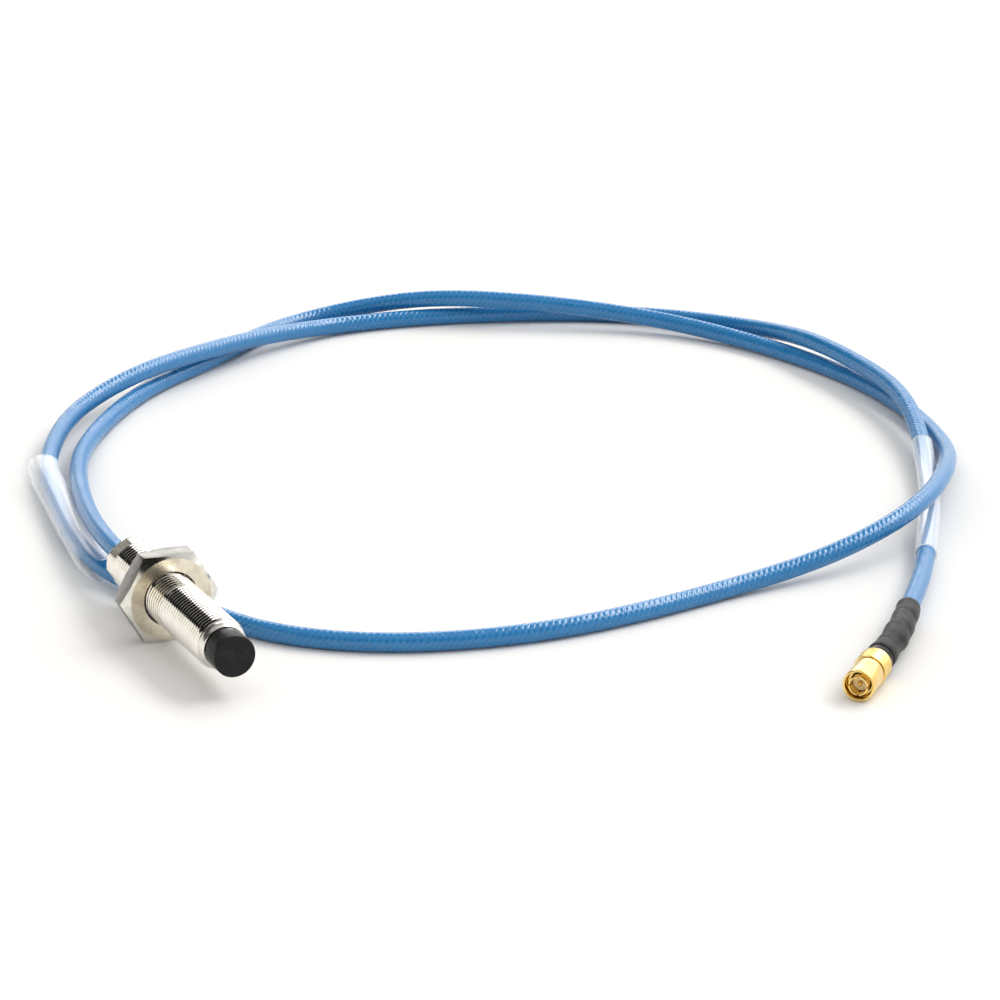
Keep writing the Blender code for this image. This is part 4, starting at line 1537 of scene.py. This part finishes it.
@dataclass
class Studio:
    """Floor, surroundings and lamp.

    Args:
        paint: the table's finish.
        half_table: half the table's width.
        key: brightness of the soft light that hangs high on the +Y side.
        soft: brightness of the wall under it.
        back: brightness of the wall's part between that and the -X side.
        side: brightness of what stands in front of the probe on the +Y side.
        low: brightness of the strip along the horizon.
        card: brightness of the warm card in front, above that strip.
        roof: brightness of what hangs overhead.
        dark: brightness of the dark half.
        fill: brightness that the surroundings give to matt surfaces.
        lamp_power: the lamp's watts.
        lamp_place: where the lamp stands.
        lamp_aim: what it points at.
        lamp_size: its width.
    """

    paint: TablePaint = TablePaint()
    half_table: float = 6.0
    key: float = 9.0
    soft: float = 2.2
    back: float = 3.0
    side: float = 0.75
    low: float = 1.1
    card: float = 1.0
    roof: float = 0.45
    dark: float = 0.012
    fill: float = 0.82
    lamp_power: float = 0.16
    lamp_place: tuple[float, float, float] = (0.08, 0.07, 0.60)
    lamp_aim: tuple[float, float, float] = (0.0, 0.05, 0.0)
    lamp_size: float = 0.30

    def floor(self) -> None:
        """A level table top."""
        corners = [(x * self.half_table, y * self.half_table, 0.0)
                   for x, y in ((-1, -1), (1, -1), (1, 1), (-1, 1))]
        mesh = bpy.data.meshes.new("table_top")
        mesh.from_pydata(corners, [], [(0, 1, 2, 3)])
        mesh.materials.append(self.paint.material())
        linked("table_top", mesh)

    def level(self, graph: Graph) -> tuple[Socket, Socket]:
        """Brightness of the sky by direction: a bright window on the +Y side, dark on the other.

        In words, with x, y and z the direction's own parts: the light is where y is above 0.46, z
        above 0.63 and x below 0.5. The wall is where y is above 0.1 and z from 0.2 to 0.62, and the
        side is its part beyond an x of 0.5, from a y of 0.24. The strip is where z is under the sine
        of 14 degrees. The card is where x is above 0.3, y below -0.05 and z under the sine of 20
        degrees. The roof is where z is above 0.75, and the rest is dark.

        Args:
            graph: where the nodes go.

        Returns:
            The brightness, and the card's share.
        """
        x, y, z = graph.split("Generated")
        light = graph.times(graph.span(y, 0.43, 0.49), graph.span(z, 0.60, 0.66),
                            graph.span(x, 0.45, 0.55, self.key, 0.0))
        shifted = graph.plus(y, graph.span(x, 0.40, 0.55, 0.0, -0.14))
        wall = graph.times(graph.span(shifted, 0.08, 0.13), graph.span(z, 0.17, 0.22),
                           graph.span(z, 0.59, 0.64, 1.0, 0.0))
        behind = graph.times(graph.span(x, 0.40, 0.55, 1.0, 0.0),
                             graph.span(y, 0.43, 0.53, self.back, self.soft))
        lit = graph.plus(behind, graph.span(x, 0.40, 0.55, 0.0, self.side))
        strip = graph.span(z, 0.235, 0.260, self.low, 0.0)
        card = graph.times(graph.span(x, 0.2, 0.4), graph.span(y, -0.11, -0.03, 1.0, 0.0),
                           graph.span(z, 0.33, 0.37, 1.0, 0.0))
        roof = graph.span(z, 0.68, 0.82, self.dark, self.roof)
        return graph.highest(light, graph.times(wall, lit), strip, graph.times(card, self.card), roof), card

    def surroundings(self) -> None:
        """The sky, which matt surfaces see as an even fill and the camera as plain white."""
        world = bpy.data.worlds.new("surroundings")
        bpy.context.scene.world = world
        world.use_nodes = True
        graph = Graph(world.node_tree)
        back = world.node_tree.nodes["Background"]
        shown, card = self.level(graph)
        path = graph.node("LightPath")
        for ray, brightness in (("Is Diffuse Ray", self.fill), ("Is Camera Ray", 1.0)):
            change = graph.math("SUBTRACT", brightness, shown)
            shown = graph.plus(shown, graph.times(path.outputs[ray], change))
        graph.put(graph.blend(card, (1.0, 0.995, 0.985), (1.0, 0.97, 0.86)), back.inputs["Color"])
        graph.put(shown, back.inputs["Strength"])

    def lamp(self) -> None:
        """One soft lamp over the middle of the loop."""
        data = bpy.data.lights.new("soft_lamp", "AREA")
        data.energy, data.size, data.color = self.lamp_power, self.lamp_size, (1.0, 0.985, 0.96)
        lamp = linked("soft_lamp", data)
        lamp.location = self.lamp_place
        aim = Vector(self.lamp_aim) - Vector(self.lamp_place)
        lamp.rotation_euler = aim.to_track_quat("-Z", "Y").to_euler()
        lamp.visible_camera = False

    def build(self) -> None:
        """Make the whole studio."""
        bpy.context.scene.view_settings.view_transform = "Standard"
        self.floor()
        self.surroundings()
        self.lamp()


def main() -> None:
    """Build the picture: camera, lead, probe, plug, inner pieces and studio."""
    logging.basicConfig(level=logging.INFO, format="%(name)s %(message)s")
    Camera().build()

    route = Route()
    lead = Lead(route.line())
    jacket = lead.build(BraidedJacket())
    plug_frame = route.plug_matrix()

    thin = ClearTube("clear_wide_tube", face=0.012, mirror=0.12)
    rims = ClearTube("clear_rim", face=0.8, edge=0.95, gloss=0.3, mirror=0.0)
    sleeves = [
        Sleeve("sleeve_near_probe", "sleeve_probe_end", 623.3 * MM, play=1.1 * MM,
               press=0.15, wall=0.3 * MM).build(lead.line, thin, rims),
        Sleeve("sleeve_near_plug", "sleeve_plug_end", 989.2 * MM, diameter=4.5 * MM, wall=0.25 * MM,
               lift=0.0).build(lead.line, ClearTube(), rims),
    ]
    rubber = BlackPolymer("black_rubber", dark=(0.014, 0.014, 0.014), rubbed=(0.046, 0.046, 0.046),
                          gloss=0.32, matt=0.46, grain=2600.0, specular=0.09)
    shiny = BlackPolymer("black_lip", dark=(0.003, 0.003, 0.003), rubbed=(0.008, 0.008, 0.008),
                         gloss=0.12, matt=0.2, grain=1500.0, specular=0.08)
    boot = Boot().build(lead.line, plug_frame, rubber, shiny)
    gold = GoldPlate()
    ptfe = InnerFinish("white_ptfe", (0.86, 0.84, 0.80), (0.80, 0.78, 0.74), 0.35)
    # The insulator is white PTFE; its orange-gold tint is a painted glow of the light reflected from the
    # gold barrel and collet.
    painted_gold_glow = InnerFinish("ptfe_painted_gold_glow", (1.0, 0.80, 0.46), (0.98, 0.74, 0.38), 0.22)
    plug = Plug(plug_frame).build(gold, painted_gold_glow)

    milled = NickelPlate("nickel_milled", (0.72, 0.68, 0.59), (0.62, 0.58, 0.49), 0.52, 0.60,
                         4.0 * MICRON, (700.0, 5000.0, 5000.0))
    nose = NickelPlate("nickel_nose", (0.84, 0.81, 0.77), (0.76, 0.73, 0.69), 0.24, 0.32,
                       1.0 * MICRON, (5000.0, 600.0, 600.0))
    Case().build(NickelPlate(), milled, nose)
    Tip().build(BlackPolymer())
    flats = NickelPlate("nickel_flats", (0.262, 0.252, 0.235), (0.225, 0.216, 0.20), 0.26, 0.34,
                        2.0 * MICRON, (4500.0, 700.0, 700.0))
    chamfer = NickelPlate("nickel_chamfer", (0.80, 0.78, 0.73), (0.68, 0.66, 0.61), 0.12, 0.20,
                          3.0 * MICRON, (900.0, 1500.0, 1500.0))
    Nut().build(TurnedFace(), flats, chamfer)

    copper = InnerFinish("copper_wire", (0.72, 0.30, 0.12), (0.60, 0.22, 0.08), 0.28, 1.0, 4000.0)
    braid = InnerFinish("tinned_braid", (0.62, 0.62, 0.60), (0.45, 0.45, 0.44), 0.35, 1.0, 1500.0)
    Inside({
        "coil_former": InnerFinish("former_plastic", (0.55, 0.44, 0.28), (0.48, 0.37, 0.22), 0.45),
        "sensing_coil": copper, "coil_wire_start": copper, "coil_wire_finish": copper,
        "centre_conductor": copper, "shield_braid": braid, "plug_braid": braid,
        "potting_fill": InnerFinish("epoxy", (0.10, 0.07, 0.05), (0.07, 0.05, 0.035), 0.25),
        "lead_core": ptfe, "plug_core": ptfe,
        "rear_seal": BlackPolymer("seal_rubber", gloss=0.5, matt=0.65),
        "cable_anchor": NickelPlate("nickel_anchor"), "plug_body": gold,
        "crimp_ferrule": InnerFinish("brass", (0.72, 0.52, 0.22), (0.62, 0.42, 0.16), 0.28, 1.0),
    }).build()

    round(lead.length, 3)
    Studio().build()


if __name__ == "__main__":
    main()
